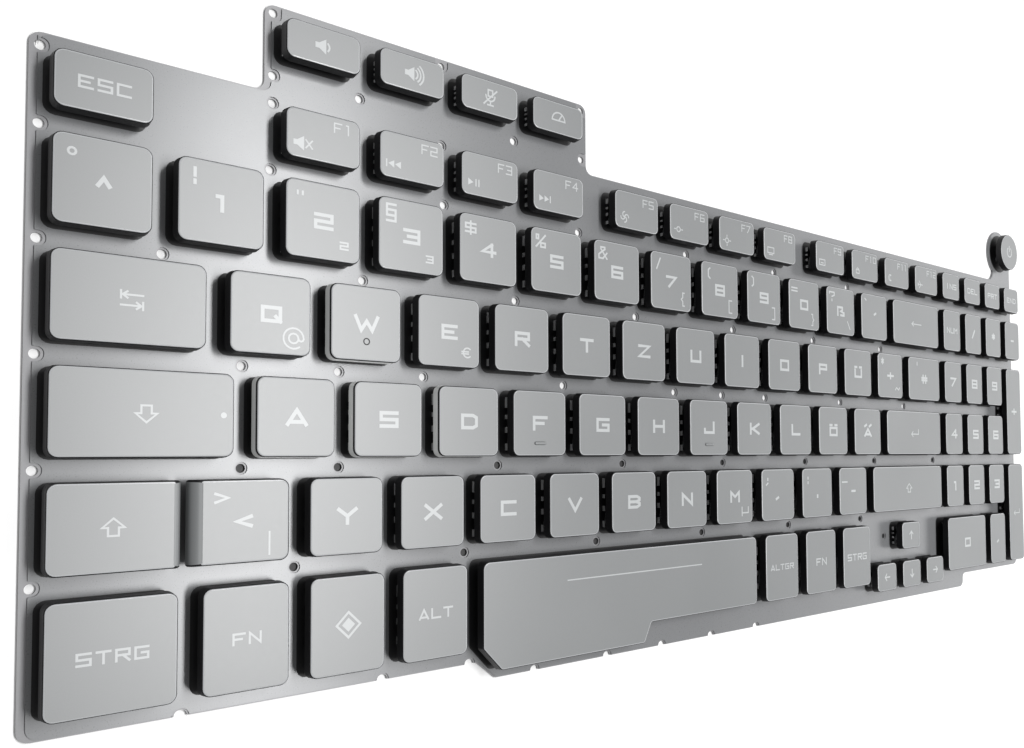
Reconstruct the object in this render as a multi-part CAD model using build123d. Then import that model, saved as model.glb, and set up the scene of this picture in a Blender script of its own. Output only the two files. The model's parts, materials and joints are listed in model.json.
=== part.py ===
from build123d import *
from collections import namedtuple
import math
import os

# Slim keyboard module for a notebook computer: 105 keycaps on scissor links and rubber domes,
# a printed switch membrane and a stamped base plate. Millimetres, Z up, keys facing up.
# Layout places are counted from the left edge of the key field and the middle of the home row;
# every piece is then moved so that the origin lies under the middle of the base plate.

# Key grid
PITCH = 19.05
KEY_W = 15.0
KEY_D = 14.95
GAP = PITCH - KEY_W
ROW_GAP = PITCH - KEY_D

# Widths of the keys that differ from a letter key
TAB_W = 24.05
CAPS_W = 29.0
SHIFT_W = 19.45
ANGLE_W = 15.7
BACKSPACE_W = 29.65
CONTROL_W = 19.95
MODIFIER_W = 15.35
SPACE_W = 91.8
PAD_W = 12.0
FUNCTION_GAP = 4.3

# Depths of the rows that differ from a letter row
FUNCTION_D = 9.6
HOT_D = 7.6
HOT_ROW_GAP = 9.55
BOTTOM_D = 18.95
CURSOR_D = 8.95

# Space bar: deeper left part with a cut corner and a slanted step
SPACE_EXTRA_D = 4.95
SPACE_STEP_X = 48.0
SPACE_STEP_RUN = 2.4
SPACE_CUT_X = 4.8
SPACE_CUT_Y = 5.2

# Keycap shell
CAP_H = 2.25
CAP_TOP = 1.0
CAP_WALL = 0.9
CORNER_CUT = 1.0
FLARE = 0.15
SHIFT_SLOPE = 1.1
ANGLE_SLOPE = 1.9
POWER_R = 7.2
POWER_SIDES = 24
BAR_L = 3.3
BAR_W = 0.8
BAR_H = 0.25
BAR_FROM_FRONT = 2.9

# Stack under the keycaps
PLATE_T = 0.5
FILM_T = 0.25
TRAVEL = 1.8
PRESS_GAP = 0.6
SEAT_GAP = 0.3

# Scissor links, rubber domes and stabiliser wires
LINK_T = 0.8
LINK_BAR = 0.9
LINK_SIDE_GAP = 0.35
LINK_FOOT_GAP = 0.15
LINK_REACH = 10.8
DOME_R = 2.4
DOME_TOP_R = 1.3
DOME_SIDES = 5
WIRE = 0.8
WIRE_ARM = 4.2
WIRE_END = 3.0
WIRE_FROM_KEY = 28.0
SPACE_LINK_X = 24.0

# Base plate and membrane
SIDE_MARGIN = 2.65
REAR_MARGIN = 3.6
FRONT_MARGIN = 3.5
SPACE_MARGIN = 2.6
PAD_FRONT_MARGIN = 2.7
HOT_LEFT_MARGIN = 2.3
HOT_RIGHT_MARGIN = 4.9
PAD_STEP = 22.6
LIP_LEAD = 1.3
LIP_RUN = 4.9
LIP_NOTCH = 10.9
LIP_HOOK = 33.2
PLATE_CORNER = 2.0
TAB_R = 9.1
TAB_NECK = 14.5
TAB_NECK_R = 4.0
TAB_Y = 74.2
FILM_INSET = 0.6
STAKE_R = 1.0
STAKE_EDGE = 1.6
STAKE_SHIFT = 0.95
STAKE_SIDES = 6
FILM_CLEARANCE = 0.55
NOTCH_R = 1.1

# Room across a wide key that its wire takes away from the links on both sides
WIRE_ROOM = 2 * (WIRE * math.sqrt(2) + LINK_SIDE_GAP)

# Heights of the stack
FILM_Z = PLATE_T + FILM_T
CAP_Z = FILM_Z + TRAVEL + PRESS_GAP
TOP_Z = CAP_Z + CAP_H
CEILING_Z = TOP_Z - CAP_TOP

# Edges of the key field
BLOCK_RIGHT = 13 * PITCH + BACKSPACE_W
FIELD_RIGHT = BLOCK_RIGHT + 4 * (GAP + PAD_W)
HOME_FRONT = -KEY_D / 2
NUMBER_FRONT = HOME_FRONT + 2 * PITCH
UPPER_FRONT = HOME_FRONT + PITCH
LOWER_FRONT = HOME_FRONT - PITCH
BOTTOM_REAR = LOWER_FRONT - ROW_GAP
BOTTOM_FRONT = BOTTOM_REAR - BOTTOM_D
FUNCTION_FRONT = NUMBER_FRONT + KEY_D + ROW_GAP
FUNCTION_REAR = FUNCTION_FRONT + FUNCTION_D
HOT_FRONT = FUNCTION_REAR + HOT_ROW_GAP
CURSOR_FRONT = BOTTOM_REAR - 2 * CURSOR_D - ROW_GAP

# Edges of the base plate
PLATE_LEFT = -SIDE_MARGIN
PLATE_RIGHT = FIELD_RIGHT + SIDE_MARGIN
PLATE_REAR = FUNCTION_REAR + REAR_MARGIN
PLATE_FRONT = BOTTOM_FRONT - FRONT_MARGIN
LIP_FRONT = BOTTOM_FRONT - SPACE_EXTRA_D - SPACE_MARGIN
PAD_PLATE_FRONT = BOTTOM_FRONT - PAD_FRONT_MARGIN
HOT_REAR = HOT_FRONT + HOT_D + REAR_MARGIN
TAB_X = PLATE_RIGHT - TAB_R
TO_ORIGIN = Pos(-(PLATE_LEFT + PLATE_RIGHT) / 2, -(LIP_FRONT + TAB_Y + TAB_R) / 2, 0)

Key = namedtuple("Key", "node left front width depth")


def lay_row(nodes, widths, left, front, depth, gap=GAP):
    """Keys side by side from the left; a width of None fills up to the right edge of the main block."""
    row = []
    for node, width in zip(nodes, widths):
        if width is None:
            width = BLOCK_RIGHT - left
        row.append(Key(node, left, front, width, depth))
        left += width + gap
    return row


def letters(text):
    return ["key_" + letter for letter in text]


# Main block, row by row
upper_nodes = ["tab_key"] + letters("qwertzuiop") + ["key_u_umlaut", "key_plus", "key_hash"]
home_nodes = ["caps_lock_key"] + letters("asdfghjkl") + ["key_o_umlaut", "key_a_umlaut", "enter_key"]
lower_nodes = ["left_shift_key", "key_angle_bracket"] + letters("yxcvbnm")
lower_nodes += ["key_comma", "key_period", "key_dash", "right_shift_key"]
keys = lay_row(["upper_row_keys"] * 14, [KEY_W] * 13 + [None], 0, NUMBER_FRONT, KEY_D)
keys += lay_row(upper_nodes, [TAB_W] + [KEY_W] * 12 + [None], 0, UPPER_FRONT, KEY_D)
keys += lay_row(home_nodes, [CAPS_W] + [KEY_W] * 11 + [None], 0, HOME_FRONT, KEY_D)
keys += lay_row(lower_nodes, [SHIFT_W, ANGLE_W] + [KEY_W] * 10 + [None], 0, LOWER_FRONT, KEY_D)

# Escape, three evenly spaced groups of four function keys, and four hot keys behind the first group
function_step = KEY_W + FUNCTION_GAP
group_w = 4 * KEY_W + 3 * FUNCTION_GAP
group_first = 2 * PITCH
group_last = BLOCK_RIGHT - group_w
keys += lay_row(["upper_row_keys"], [KEY_W], 0, FUNCTION_FRONT, FUNCTION_D)
for start in (group_first, (group_first + group_last) / 2, group_last):
    keys += lay_row(["upper_row_keys"] * 4, [KEY_W] * 4, start, FUNCTION_FRONT, FUNCTION_D, FUNCTION_GAP)
keys += lay_row(["upper_row_keys"] * 4, [KEY_W] * 4, group_first, HOT_FRONT, HOT_D, FUNCTION_GAP)

# Bottom row; the space bar is added apart because of its outline
left_nodes = ["left_control_key", "layer_key", "system_key", "left_alt_key"]
right_nodes = ["right_alt_key", "menu_key", "right_control_key"]
bottom = lay_row(left_nodes, [CONTROL_W] + [MODIFIER_W] * 3, 0, BOTTOM_FRONT, BOTTOM_D)
space_left = bottom[-1].left + MODIFIER_W + GAP
space_right = space_left + SPACE_W
bottom += lay_row(right_nodes, [KEY_W] * 3, space_right + GAP, BOTTOM_FRONT, BOTTOM_D)
keys += bottom

# Cursor keys share the room that is left in front of the main block
cursor_left = bottom[-1].left + KEY_W + GAP
CURSOR_W = (BLOCK_RIGHT - cursor_left - 2 * GAP) / 3
cursor_nodes = ["cursor_left_key", "cursor_down_key", "cursor_right_key"]
cursor_row = lay_row(cursor_nodes, [CURSOR_W] * 3, cursor_left, CURSOR_FRONT, CURSOR_D)
keys += cursor_row
keys.append(Key("cursor_up_key", cursor_row[1].left, BOTTOM_REAR - CURSOR_D, CURSOR_W, CURSOR_D))

# Number pad: four narrow columns, two tall keys on the right and a wide zero
pad_left = BLOCK_RIGHT + GAP
pad_step = PAD_W + GAP
pad_nodes = ["number_pad_keys"] * 4
keys += lay_row(pad_nodes, [PAD_W] * 4, pad_left, FUNCTION_FRONT, FUNCTION_D)
keys += lay_row(pad_nodes, [PAD_W] * 4, pad_left, NUMBER_FRONT, KEY_D)
for front in (UPPER_FRONT, HOME_FRONT, LOWER_FRONT):
    keys += lay_row(pad_nodes[:3], [PAD_W] * 3, pad_left, front, KEY_D)
keys += lay_row(pad_nodes[:2], [PAD_W + pad_step, PAD_W], pad_left, BOTTOM_FRONT, BOTTOM_D)
tall_left = pad_left + 3 * pad_step
keys.append(Key("number_pad_keys", tall_left, HOME_FRONT, PAD_W, PITCH + KEY_D))
keys.append(Key("number_pad_keys", tall_left, BOTTOM_FRONT, PAD_W, LOWER_FRONT + KEY_D - BOTTOM_FRONT))


def cut_rectangle(left, right, front, rear):
    """Rectangle with its four corners cut off."""
    middle = Pos((left + right) / 2, (front + rear) / 2)
    face = middle * Rectangle(right - left, rear - front)
    return chamfer(face.vertices(), CORNER_CUT)


def keycap(key):
    """Tapered shell, open below, around the middle of its key."""
    half_w = key.width / 2
    half_d = key.depth / 2
    slope_left = ANGLE_SLOPE if key.node == "key_angle_bracket" else FLARE
    slope_right = SHIFT_SLOPE if key.node == "left_shift_key" else FLARE
    rim = cut_rectangle(-half_w - slope_left, half_w + slope_right, -half_d - FLARE, half_d + FLARE)
    if slope_left == slope_right:
        shell = Pos(0, 0, CAP_Z) * extrude(rim, CAP_H, taper=math.degrees(math.atan2(FLARE, CAP_H)))
    else:
        top = cut_rectangle(-half_w, half_w, -half_d, half_d)
        shell = loft([Pos(0, 0, CAP_Z) * rim, Pos(0, 0, TOP_Z) * top], ruled=True)
    room = Box(key.width - 2 * CAP_WALL, key.depth - 2 * CAP_WALL, CAP_H - CAP_TOP,
               align=(Align.CENTER, Align.CENTER, Align.MIN))
    shell -= Pos(0, 0, CAP_Z) * room
    if key.node in ("key_f", "key_j"):
        bar = Box(BAR_L, BAR_W, BAR_H, align=(Align.CENTER, Align.CENTER, Align.MIN))
        shell += Pos(0, BAR_FROM_FRONT - half_d, TOP_Z) * bar
    return shell


def space_keycap():
    """Long shell with a cut front left corner and a shallower right part."""
    front = BOTTOM_FRONT - SPACE_EXTRA_D
    step_x = space_left + SPACE_STEP_X
    corners = [(space_left, BOTTOM_REAR), (space_right, BOTTOM_REAR), (space_right, BOTTOM_FRONT),
               (step_x + SPACE_STEP_RUN, BOTTOM_FRONT), (step_x, front),
               (space_left + SPACE_CUT_X, front), (space_left, front + SPACE_CUT_Y)]
    top = make_face(Polyline(*corners, close=True))
    ends = top.vertices().group_by(Axis.X)[0] + top.vertices().group_by(Axis.X)[-1]
    top = chamfer([v for v in ends if v.Y > BOTTOM_FRONT - CORNER_CUT], CORNER_CUT)
    rim = offset(top, FLARE, kind=Kind.INTERSECTION)
    shell = loft([Pos(0, 0, CAP_Z) * rim, Pos(0, 0, TOP_Z) * top], ruled=True)
    room = offset(top, -CAP_WALL, kind=Kind.INTERSECTION)
    return shell - extrude(Pos(0, 0, CAP_Z) * room, CAP_H - CAP_TOP)


def power_keycap():
    """Round tapered shell with a few dozen flat flanks."""
    rim = RegularPolygon(POWER_R + FLARE, POWER_SIDES)
    shell = extrude(rim, CAP_H, taper=math.degrees(math.atan2(FLARE, CAP_H)))
    room = extrude(RegularPolygon(POWER_R - CAP_WALL, POWER_SIDES), CAP_H - CAP_TOP)
    return Pos(0, 0, CAP_Z) * (shell - room)


def fork(width, reach, bar, thick):
    """Flat U-shaped link: two arms that point to +Y and a cross bar at their -Y end."""
    face = Rectangle(width, reach) - Pos(0, bar / 2) * Rectangle(width - 2 * bar, reach - bar)
    return extrude(face, thick / 2, both=True)


def tilt_for(reach, thick, height):
    """Angle at which a bar of this reach and thickness stands exactly this high."""
    return math.degrees(math.asin(min(1.0, height / math.hypot(reach, thick))) - math.atan2(thick, reach))


def link_stand(depth):
    """Reach, foot height, tip height and tilt of the links under a key of this depth."""
    reach = min(LINK_REACH, depth - 2 * (CAP_WALL + LINK_SIDE_GAP))
    low = FILM_Z + LINK_FOOT_GAP
    high = CEILING_Z - SEAT_GAP
    return reach, low, high, tilt_for(reach, LINK_T, high - low)


def scissor(width, depth):
    """Two crossed links in the room under a keycap: feet on the membrane, tips under the cap."""
    outer_w = min(width, KEY_W) - 2 * (CAP_WALL + LINK_SIDE_GAP)
    inner_w = outer_w - 2 * (LINK_BAR + LINK_SIDE_GAP)
    reach, low, high, angle = link_stand(depth)
    middle = Pos(0, 0, (low + high) / 2)
    outer = middle * Rot(angle, 0, 0) * fork(outer_w, reach, LINK_BAR, LINK_T)
    inner = middle * Rot(angle, 0, 180) * fork(inner_w, reach, LINK_BAR, LINK_T)
    return [outer, inner]


def dome(width, depth):
    """Few-sided rubber dome that fits inside the inner link and between the tilted cross bars."""
    reach, low, high, angle = link_stand(depth)
    tilt = math.radians(angle)
    side_room = min(width, KEY_W) / 2 - CAP_WALL - 3 * LINK_SIDE_GAP - 2 * LINK_BAR
    end_room = (reach / 2 - LINK_BAR) * math.cos(tilt) - LINK_T / 2 * math.sin(tilt) - LINK_SIDE_GAP
    foot_r = min(DOME_R, side_room, end_room)
    narrowing = max(0.0, foot_r - DOME_TOP_R) * math.cos(math.pi / DOME_SIDES)
    height = high - FILM_Z
    lean = math.degrees(math.atan2(narrowing, height))
    return Pos(0, 0, FILM_Z) * extrude(RegularPolygon(foot_r, DOME_SIDES), height, taper=lean)


def stabiliser(length, depth):
    """U-shaped wire behind the links of a wide key: bar under the cap, arm ends on the membrane."""
    low = FILM_Z + LINK_FOOT_GAP
    high = CEILING_Z - SEAT_GAP
    angle = tilt_for(WIRE_ARM, WIRE, high - low)
    run = WIRE_ARM * math.cos(math.radians(angle)) + WIRE * math.sin(math.radians(angle))
    rear = depth / 2 - CAP_WALL - LINK_SIDE_GAP
    wire = fork(length - 2 * WIRE_END, WIRE_ARM, WIRE, WIRE)
    return Pos(0, rear - run / 2, (low + high) / 2) * Rot(0, 0, 180) * Rot(-angle, 0, 0) * wire


# Keycaps, links, domes and wires, each placed at its key; grouped keys carry the outer link alone
GROUP_NODES = ("upper_row_keys", "number_pad_keys")
pieces = {}
links = []
domes = []
wires = []


def mount_key(node, cap, cap_place, place, width, depth, link_places):
    """File a keycap under its node and put the pieces that carry it underneath."""
    pieces.setdefault(node, []).append(TO_ORIGIN * cap_place * cap)
    domes.append(TO_ORIGIN * place * dome(width, depth))
    pair = scissor(width, depth)
    if node in GROUP_NODES:
        pair = pair[:1]
    for link_place in link_places:
        links.extend(TO_ORIGIN * place * link_place * link for link in pair)


for key in keys:
    centre = Pos(key.left + key.width / 2, key.front + key.depth / 2)
    turned = centre * Rot(0, 0, 90) if key.depth > key.width + PITCH / 2 else centre
    length = max(key.width, key.depth) if turned is not centre else key.width
    across = min(key.width, key.depth) if turned is not centre else key.depth
    if length > WIRE_FROM_KEY:
        wires.append(TO_ORIGIN * turned * stabiliser(length, across))
        across -= WIRE_ROOM
    mount_key(key.node, keycap(key), centre, turned, length, across, [Pos(0, 0)])

space_centre = Pos((space_left + space_right) / 2, BOTTOM_REAR - BOTTOM_D / 2)
mount_key("space_bar", space_keycap(), Pos(0, 0), space_centre, SPACE_W, BOTTOM_D - WIRE_ROOM,
          [Pos(-SPACE_LINK_X, 0), Pos(SPACE_LINK_X, 0)])
wires.append(TO_ORIGIN * space_centre * stabiliser(SPACE_W, BOTTOM_D))
power_centre = Pos(TAB_X, TAB_Y)
power_room = POWER_R * math.sqrt(2)
mount_key("power_key", power_keycap(), power_centre, power_centre, power_room, power_room, [Pos(0, 0)])

# Outline of the base plate: cut-back rear, raised hot-key tongue, front lip and power-key tab
neck_left = PLATE_RIGHT - TAB_NECK
lip_left = space_left + LIP_LEAD
pad_step_x = BLOCK_RIGHT + PAD_STEP
hot_left = group_first - HOT_LEFT_MARGIN
hot_right = group_first + group_w + HOT_RIGHT_MARGIN
corners = [(PLATE_LEFT, PLATE_FRONT), (lip_left, PLATE_FRONT), (lip_left + LIP_RUN, LIP_FRONT),
           (pad_step_x, LIP_FRONT), (pad_step_x, PAD_PLATE_FRONT), (PLATE_RIGHT, PAD_PLATE_FRONT),
           (PLATE_RIGHT, TAB_Y), (neck_left, TAB_Y), (neck_left, PLATE_REAR), (hot_right, PLATE_REAR),
           (hot_right, HOT_REAR), (hot_left, HOT_REAR), (hot_left, PLATE_REAR), (PLATE_LEFT, PLATE_REAR)]
sheet = make_face(Polyline(*corners, close=True))
neck_corner = sheet.vertices().sort_by_distance((neck_left, PLATE_REAR))[0]
tab_ends = [v for v in sheet.vertices() if v.Y == TAB_Y]
square = [v for v in sheet.vertices() if v not in tab_ends and v != neck_corner]
sheet = fillet([v for v in square if abs(v.X - lip_left) > LIP_RUN + PLATE_CORNER], PLATE_CORNER)
sheet = fillet(sheet.vertices().sort_by_distance((neck_left, PLATE_REAR))[0], TAB_NECK_R)
sheet += Pos(TAB_X, TAB_Y) * Circle(TAB_R)

# Stake holes: round ones along the left edge, few-sided ones between the rows and round the hot keys
gap_lines = [front - ROW_GAP / 2 for front in (FUNCTION_FRONT, NUMBER_FRONT, UPPER_FRONT, HOME_FRONT)]
gap_lines.append(LOWER_FRONT - ROW_GAP / 2)
angle_right = SHIFT_W + GAP + ANGLE_W
gap_starts = [2 * PITCH - GAP, PITCH - GAP, CAPS_W, CAPS_W, angle_right]
hole_steps = [(0, 2, 4, 6, 8, 10), (0, 2, 4, 6, 8, 10, 12), (0, 1, 2, 4, 6, 7, 8, 10, 12),
              (0, 1, 3, 5, 7, 9, 11, 13), (0, 2, 4, 6, 8, 10)]
stakes = []
for line, start, steps in zip(gap_lines, gap_starts, hole_steps):
    stakes += [(start + GAP / 2 + STAKE_SHIFT + step * PITCH, line) for step in steps]
rear_line = PLATE_REAR - STAKE_EDGE - FILM_INSET
hot_line = HOT_REAR - STAKE_EDGE
mid_line = HOT_FRONT - STAKE_EDGE - NOTCH_R
edge_stakes = [(PLATE_LEFT + STAKE_EDGE, line) for line in gap_lines + [rear_line]]
stakes += [(hot_left + STAKE_EDGE, line) for line in (rear_line, mid_line, hot_line)]
stakes += [(hot_right - STAKE_EDGE, mid_line), (hot_right - STAKE_EDGE, hot_line)]
for gap_number, line in ((1, mid_line), (2, hot_line), (3, mid_line), (2, rear_line)):
    stakes.append((group_first + gap_number * function_step - FUNCTION_GAP / 2, line))
cursor_line = BOTTOM_REAR - CURSOR_D / 2
for up_edge in (cursor_row[1].left - GAP, cursor_row[1].left + CURSOR_W + GAP):
    stakes.append((up_edge, cursor_line))

# Half-round notches along the front edge
notches = [(key.left - GAP / 2, PLATE_FRONT) for key in (bottom[1], bottom[3])]
notches.append((lip_left + LIP_RUN + LIP_NOTCH, LIP_FRONT))
notches += [(lip_left + LIP_RUN + LIP_HOOK + step * PITCH, LIP_FRONT) for step in range(4)]

plate_holes = [Pos(x, y) * Circle(STAKE_R) for x, y in edge_stakes]
plate_holes += [Pos(x, y) * RegularPolygon(STAKE_R, STAKE_SIDES) for x, y in stakes]
plate_holes += [Pos(x, y) * RegularPolygon(NOTCH_R, STAKE_SIDES) for x, y in notches]
film_side = 2 * (STAKE_R + FILM_CLEARANCE)
film_holes = [Pos(x, y) * Rectangle(film_side, film_side) for x, y in edge_stakes + stakes + notches]
film_sheet = offset(sheet, -FILM_INSET)
base_plate = extrude(sheet - plate_holes, PLATE_T)
switch_membrane = extrude(Pos(0, 0, PLATE_T) * (film_sheet - film_holes), FILM_T)

pieces["base_plate"] = [TO_ORIGIN * base_plate]
pieces["switch_membrane"] = [TO_ORIGIN * switch_membrane]
pieces["scissor_links"] = links
pieces["rubber_domes"] = domes
pieces["stabiliser_bars"] = wires

os.makedirs("parts", exist_ok=True)
for node, shapes in pieces.items():
    solids = [solid for shape in shapes for solid in shape.solids()]
    export_step(solids[0] if len(solids) == 1 else Compound(solids), "parts/" + node + ".step")
print(len(pieces), "nodes", len(keys) + 2, "keycaps", len(edge_stakes + stakes), "stake holes")
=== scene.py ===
# %% [markdown]
# # A slim notebook keyboard, dressed over its CAD frame
# The frame already holds every piece at its true size and every key on its own slide. This file adds what
# the eye looks for: rounded caps, printed signs, clear skirts, folding scissors and satin grey finishes.
# Everything is in metres, but sizes are typed in millimetres and multiplied by MM, as on a drawing.

# %% Load the frame
import json
import math
import bpy
import numpy as np
from mathutils import Euler, Matrix, Vector

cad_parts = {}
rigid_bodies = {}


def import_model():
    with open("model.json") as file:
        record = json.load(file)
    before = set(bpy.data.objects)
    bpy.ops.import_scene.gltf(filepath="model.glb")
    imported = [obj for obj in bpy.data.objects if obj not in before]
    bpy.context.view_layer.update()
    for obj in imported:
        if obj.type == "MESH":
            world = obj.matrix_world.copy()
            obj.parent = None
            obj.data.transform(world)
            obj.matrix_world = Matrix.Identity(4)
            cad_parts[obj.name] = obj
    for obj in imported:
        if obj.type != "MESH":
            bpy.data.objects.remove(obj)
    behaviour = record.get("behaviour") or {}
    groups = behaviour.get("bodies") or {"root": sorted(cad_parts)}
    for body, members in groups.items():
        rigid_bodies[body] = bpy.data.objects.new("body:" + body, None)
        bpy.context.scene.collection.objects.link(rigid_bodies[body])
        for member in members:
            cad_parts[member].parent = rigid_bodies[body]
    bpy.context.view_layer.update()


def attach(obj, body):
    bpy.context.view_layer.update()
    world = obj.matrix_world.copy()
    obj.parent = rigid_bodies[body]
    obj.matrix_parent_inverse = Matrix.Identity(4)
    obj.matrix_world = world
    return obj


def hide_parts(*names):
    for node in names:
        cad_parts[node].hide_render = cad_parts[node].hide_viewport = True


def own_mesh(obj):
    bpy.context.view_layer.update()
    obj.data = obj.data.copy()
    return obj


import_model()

MM = 0.001

# %% [markdown]
# ## The key grid
# A full-size keyboard repeats one pitch, so all keys can be laid out with a few widths and one gap. Places
# are counted from the left edge of the key field and from the middle of the home row, and are moved at the
# end so that the middle of the plate lies over the origin, as in the frame.

# %% Widths, rows and heights
PITCH, KEY_W, KEY_D = 19.05, 15.0, 14.95
GAP, ROW_GAP = PITCH - KEY_W, PITCH - KEY_D
TAB_W, CAPS_W, SHIFT_W, ANGLE_W, BACKSPACE_W = 24.05, 29.0, 19.45, 15.7, 29.65
CONTROL_W, MODIFIER_W, SPACE_W, PAD_W = 19.95, 15.35, 91.8, 12.0
FUNCTION_D, HOT_D, BOTTOM_D, CURSOR_D = 9.6, 7.6, 18.95, 8.95
FUNCTION_GAP, HOT_ROW_GAP = 4.3, 9.55
BLOCK_RIGHT = 13 * PITCH + BACKSPACE_W
HOME, UPPER, NUMBER, LOWER = [-KEY_D / 2 + step * PITCH for step in (0, 1, 2, -1)]
FUNCTION = NUMBER + KEY_D + ROW_GAP
HOT = FUNCTION + FUNCTION_D + HOT_ROW_GAP
BOTTOM_REAR = LOWER - ROW_GAP
BOTTOM = BOTTOM_REAR - BOTTOM_D
CURSOR = BOTTOM_REAR - 2 * CURSOR_D - ROW_GAP
print("main block is", round(BLOCK_RIGHT, 2), "mm wide")

# %% [markdown]
# The plate reaches a little past the keys, most of all in front of the space bar and round the power key at
# the rear right. Its middle gives the origin. The heights go up through the stack: plate, membrane, the rim
# of the caps with room for their travel, the ceiling inside the caps and their tops.

# %% Middle of the plate and heights
SIDE_MARGIN, SPACE_EXTRA_D, SPACE_MARGIN = 2.65, 4.95, 2.6
TAB_Y, TAB_R = 74.2, 9.1
PLATE_LEFT, PLATE_RIGHT = -SIDE_MARGIN, BLOCK_RIGHT + 4 * (GAP + PAD_W) + SIDE_MARGIN
SPACE_FRONT = BOTTOM - SPACE_EXTRA_D
LIP_FRONT = SPACE_FRONT - SPACE_MARGIN
ORIGIN = np.array([(PLATE_LEFT + PLATE_RIGHT) / 2, (LIP_FRONT + TAB_Y + TAB_R) / 2])
PLATE_T, FILM_T, TRAVEL, PRESS_GAP, CAP_H, CAP_TOP = 0.5, 0.25, 1.8, 0.6, 2.25, 1.0
FILM_Z = PLATE_T + FILM_T
CAP_Z = FILM_Z + TRAVEL + PRESS_GAP
TOP_Z = CAP_Z + CAP_H
CEILING_Z = TOP_Z - CAP_TOP
print("plate middle at", ORIGIN.round(3), "key tops at", round(TOP_Z, 2))

# %% [markdown]
# Each key is one row of a table: the CAD node that it stands for, its place, its size and what is printed
# on it. A sign is written as text plus where it sits; the words are turned into strokes further down.

# %% Lay the rows out
keys = []
UP, PAD = "upper_row_keys", "number_pad_keys"


def lay_row(nodes, signs, widths, left, front, depth, gap=GAP):
    """Keys side by side from the left; a width of None fills up to the right edge of the main block."""
    for node, sign, width in zip(nodes, signs, widths):
        width = BLOCK_RIGHT - left if width is None else width
        keys.append(dict(node=node, sign=sign, left=left, front=front, w=width, d=depth))
        left += width + gap
    return left


def letter_nodes(letters):
    """Node names of plain letter keys."""
    return ["key_" + letter for letter in letters]


def middle_of(key):
    """Middle of a key in plan."""
    return np.array([key["left"] + key["w"] / 2, key["front"] + key["d"] / 2])


number_signs = ["^|°", "1|!", "2|\"|²", "3|§|³", "4|$", "5|%", "6|&", "7|/|{", "8|(|[", "9|)|]", "0|=|}",
                "ß|?|\\", "´|`", "back"]
upper_nodes = ["tab_key"] + letter_nodes("qwertzuiop") + ["key_u_umlaut", "key_plus", "key_hash"]
upper_signs = ["tab", "Q||@", "W", "E||€"] + list("RTZUIOPÜ") + ["+|*|~", "#|'"]
home_nodes = ["caps_lock_key"] + letter_nodes("asdfghjkl") + ["key_o_umlaut", "key_a_umlaut", "enter_key"]
home_signs = ["caps"] + list("ASDFGHJKLÖÄ") + ["enter"]
lower_nodes = ["left_shift_key", "key_angle_bracket"] + letter_nodes("yxcvbnm")
lower_nodes += ["key_comma", "key_period", "key_dash", "right_shift_key"]
lower_signs = ["shift", "<|>||"] + list("YXCVBN") + ["M||µ", ",|;", ".|:", "-|_", "shift"]
lay_row([UP] * 14, number_signs, [KEY_W] * 13 + [None], 0, NUMBER, KEY_D)
lay_row(upper_nodes, upper_signs, [TAB_W] + [KEY_W] * 12 + [None], 0, UPPER, KEY_D)
lay_row(home_nodes, home_signs, [CAPS_W] + [KEY_W] * 11 + [None], 0, HOME, KEY_D)
lay_row(lower_nodes, lower_signs, [SHIFT_W, ANGLE_W] + [KEY_W] * 10 + [None], 0, LOWER, KEY_D)
print(len(keys), "keys in the four main rows")

# %% [markdown]
# The function keys stand in three groups of four, spread evenly from the third key of the number row to the
# right edge of the block, and four low hot keys lie behind the first group. The bottom row leaves room for
# the space bar.

# %% Function row, hot keys and bottom row
GROUP_W = 4 * KEY_W + 3 * FUNCTION_GAP
GROUP_STARTS = (2 * PITCH, (2 * PITCH + BLOCK_RIGHT - GROUP_W) / 2, BLOCK_RIGHT - GROUP_W)
lay_row([UP], ["=ESC"], [KEY_W], 0, FUNCTION, FUNCTION_D)
icons = ["mute", "rewind", "play", "forward", "fan", "dim", "bright", "screen",
         "panel", "lock", "moon", "plane"]
for group, start in enumerate(GROUP_STARTS):
    names = ["fn:F%d:%s" % (4 * group + i + 1, icons[4 * group + i]) for i in range(4)]
    lay_row([UP] * 4, names, [KEY_W] * 4, start, FUNCTION, FUNCTION_D, FUNCTION_GAP)
hot_signs = ["hot:speaker", "hot:loud", "hot:microphone", "hot:gauge"]
lay_row([UP] * 4, hot_signs, [KEY_W] * 4, GROUP_STARTS[0], HOT, HOT_D, FUNCTION_GAP)
left_nodes = ["left_control_key", "layer_key", "system_key", "left_alt_key"]
left_signs = ["=STRG", "=FN", "system", "=ALT"]
space_left = lay_row(left_nodes, left_signs, [CONTROL_W] + [MODIFIER_W] * 3, 0, BOTTOM, BOTTOM_D)
space_right = space_left + SPACE_W
right_nodes = ["right_alt_key", "menu_key", "right_control_key"]
right_signs = ["=ALTGR", "=FN", "=STRG"]
cursor_left = lay_row(right_nodes, right_signs, [KEY_W] * 3, space_right + GAP, BOTTOM, BOTTOM_D)
print("the space bar runs from", round(space_left, 2), "to", round(space_right, 2))

# %% [markdown]
# The cursor keys share what is left of the bottom row, in two lines of low keys. The number pad repeats the
# rows of the main block with narrower keys; two of its keys are taller than a row and its zero is two wide.

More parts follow.
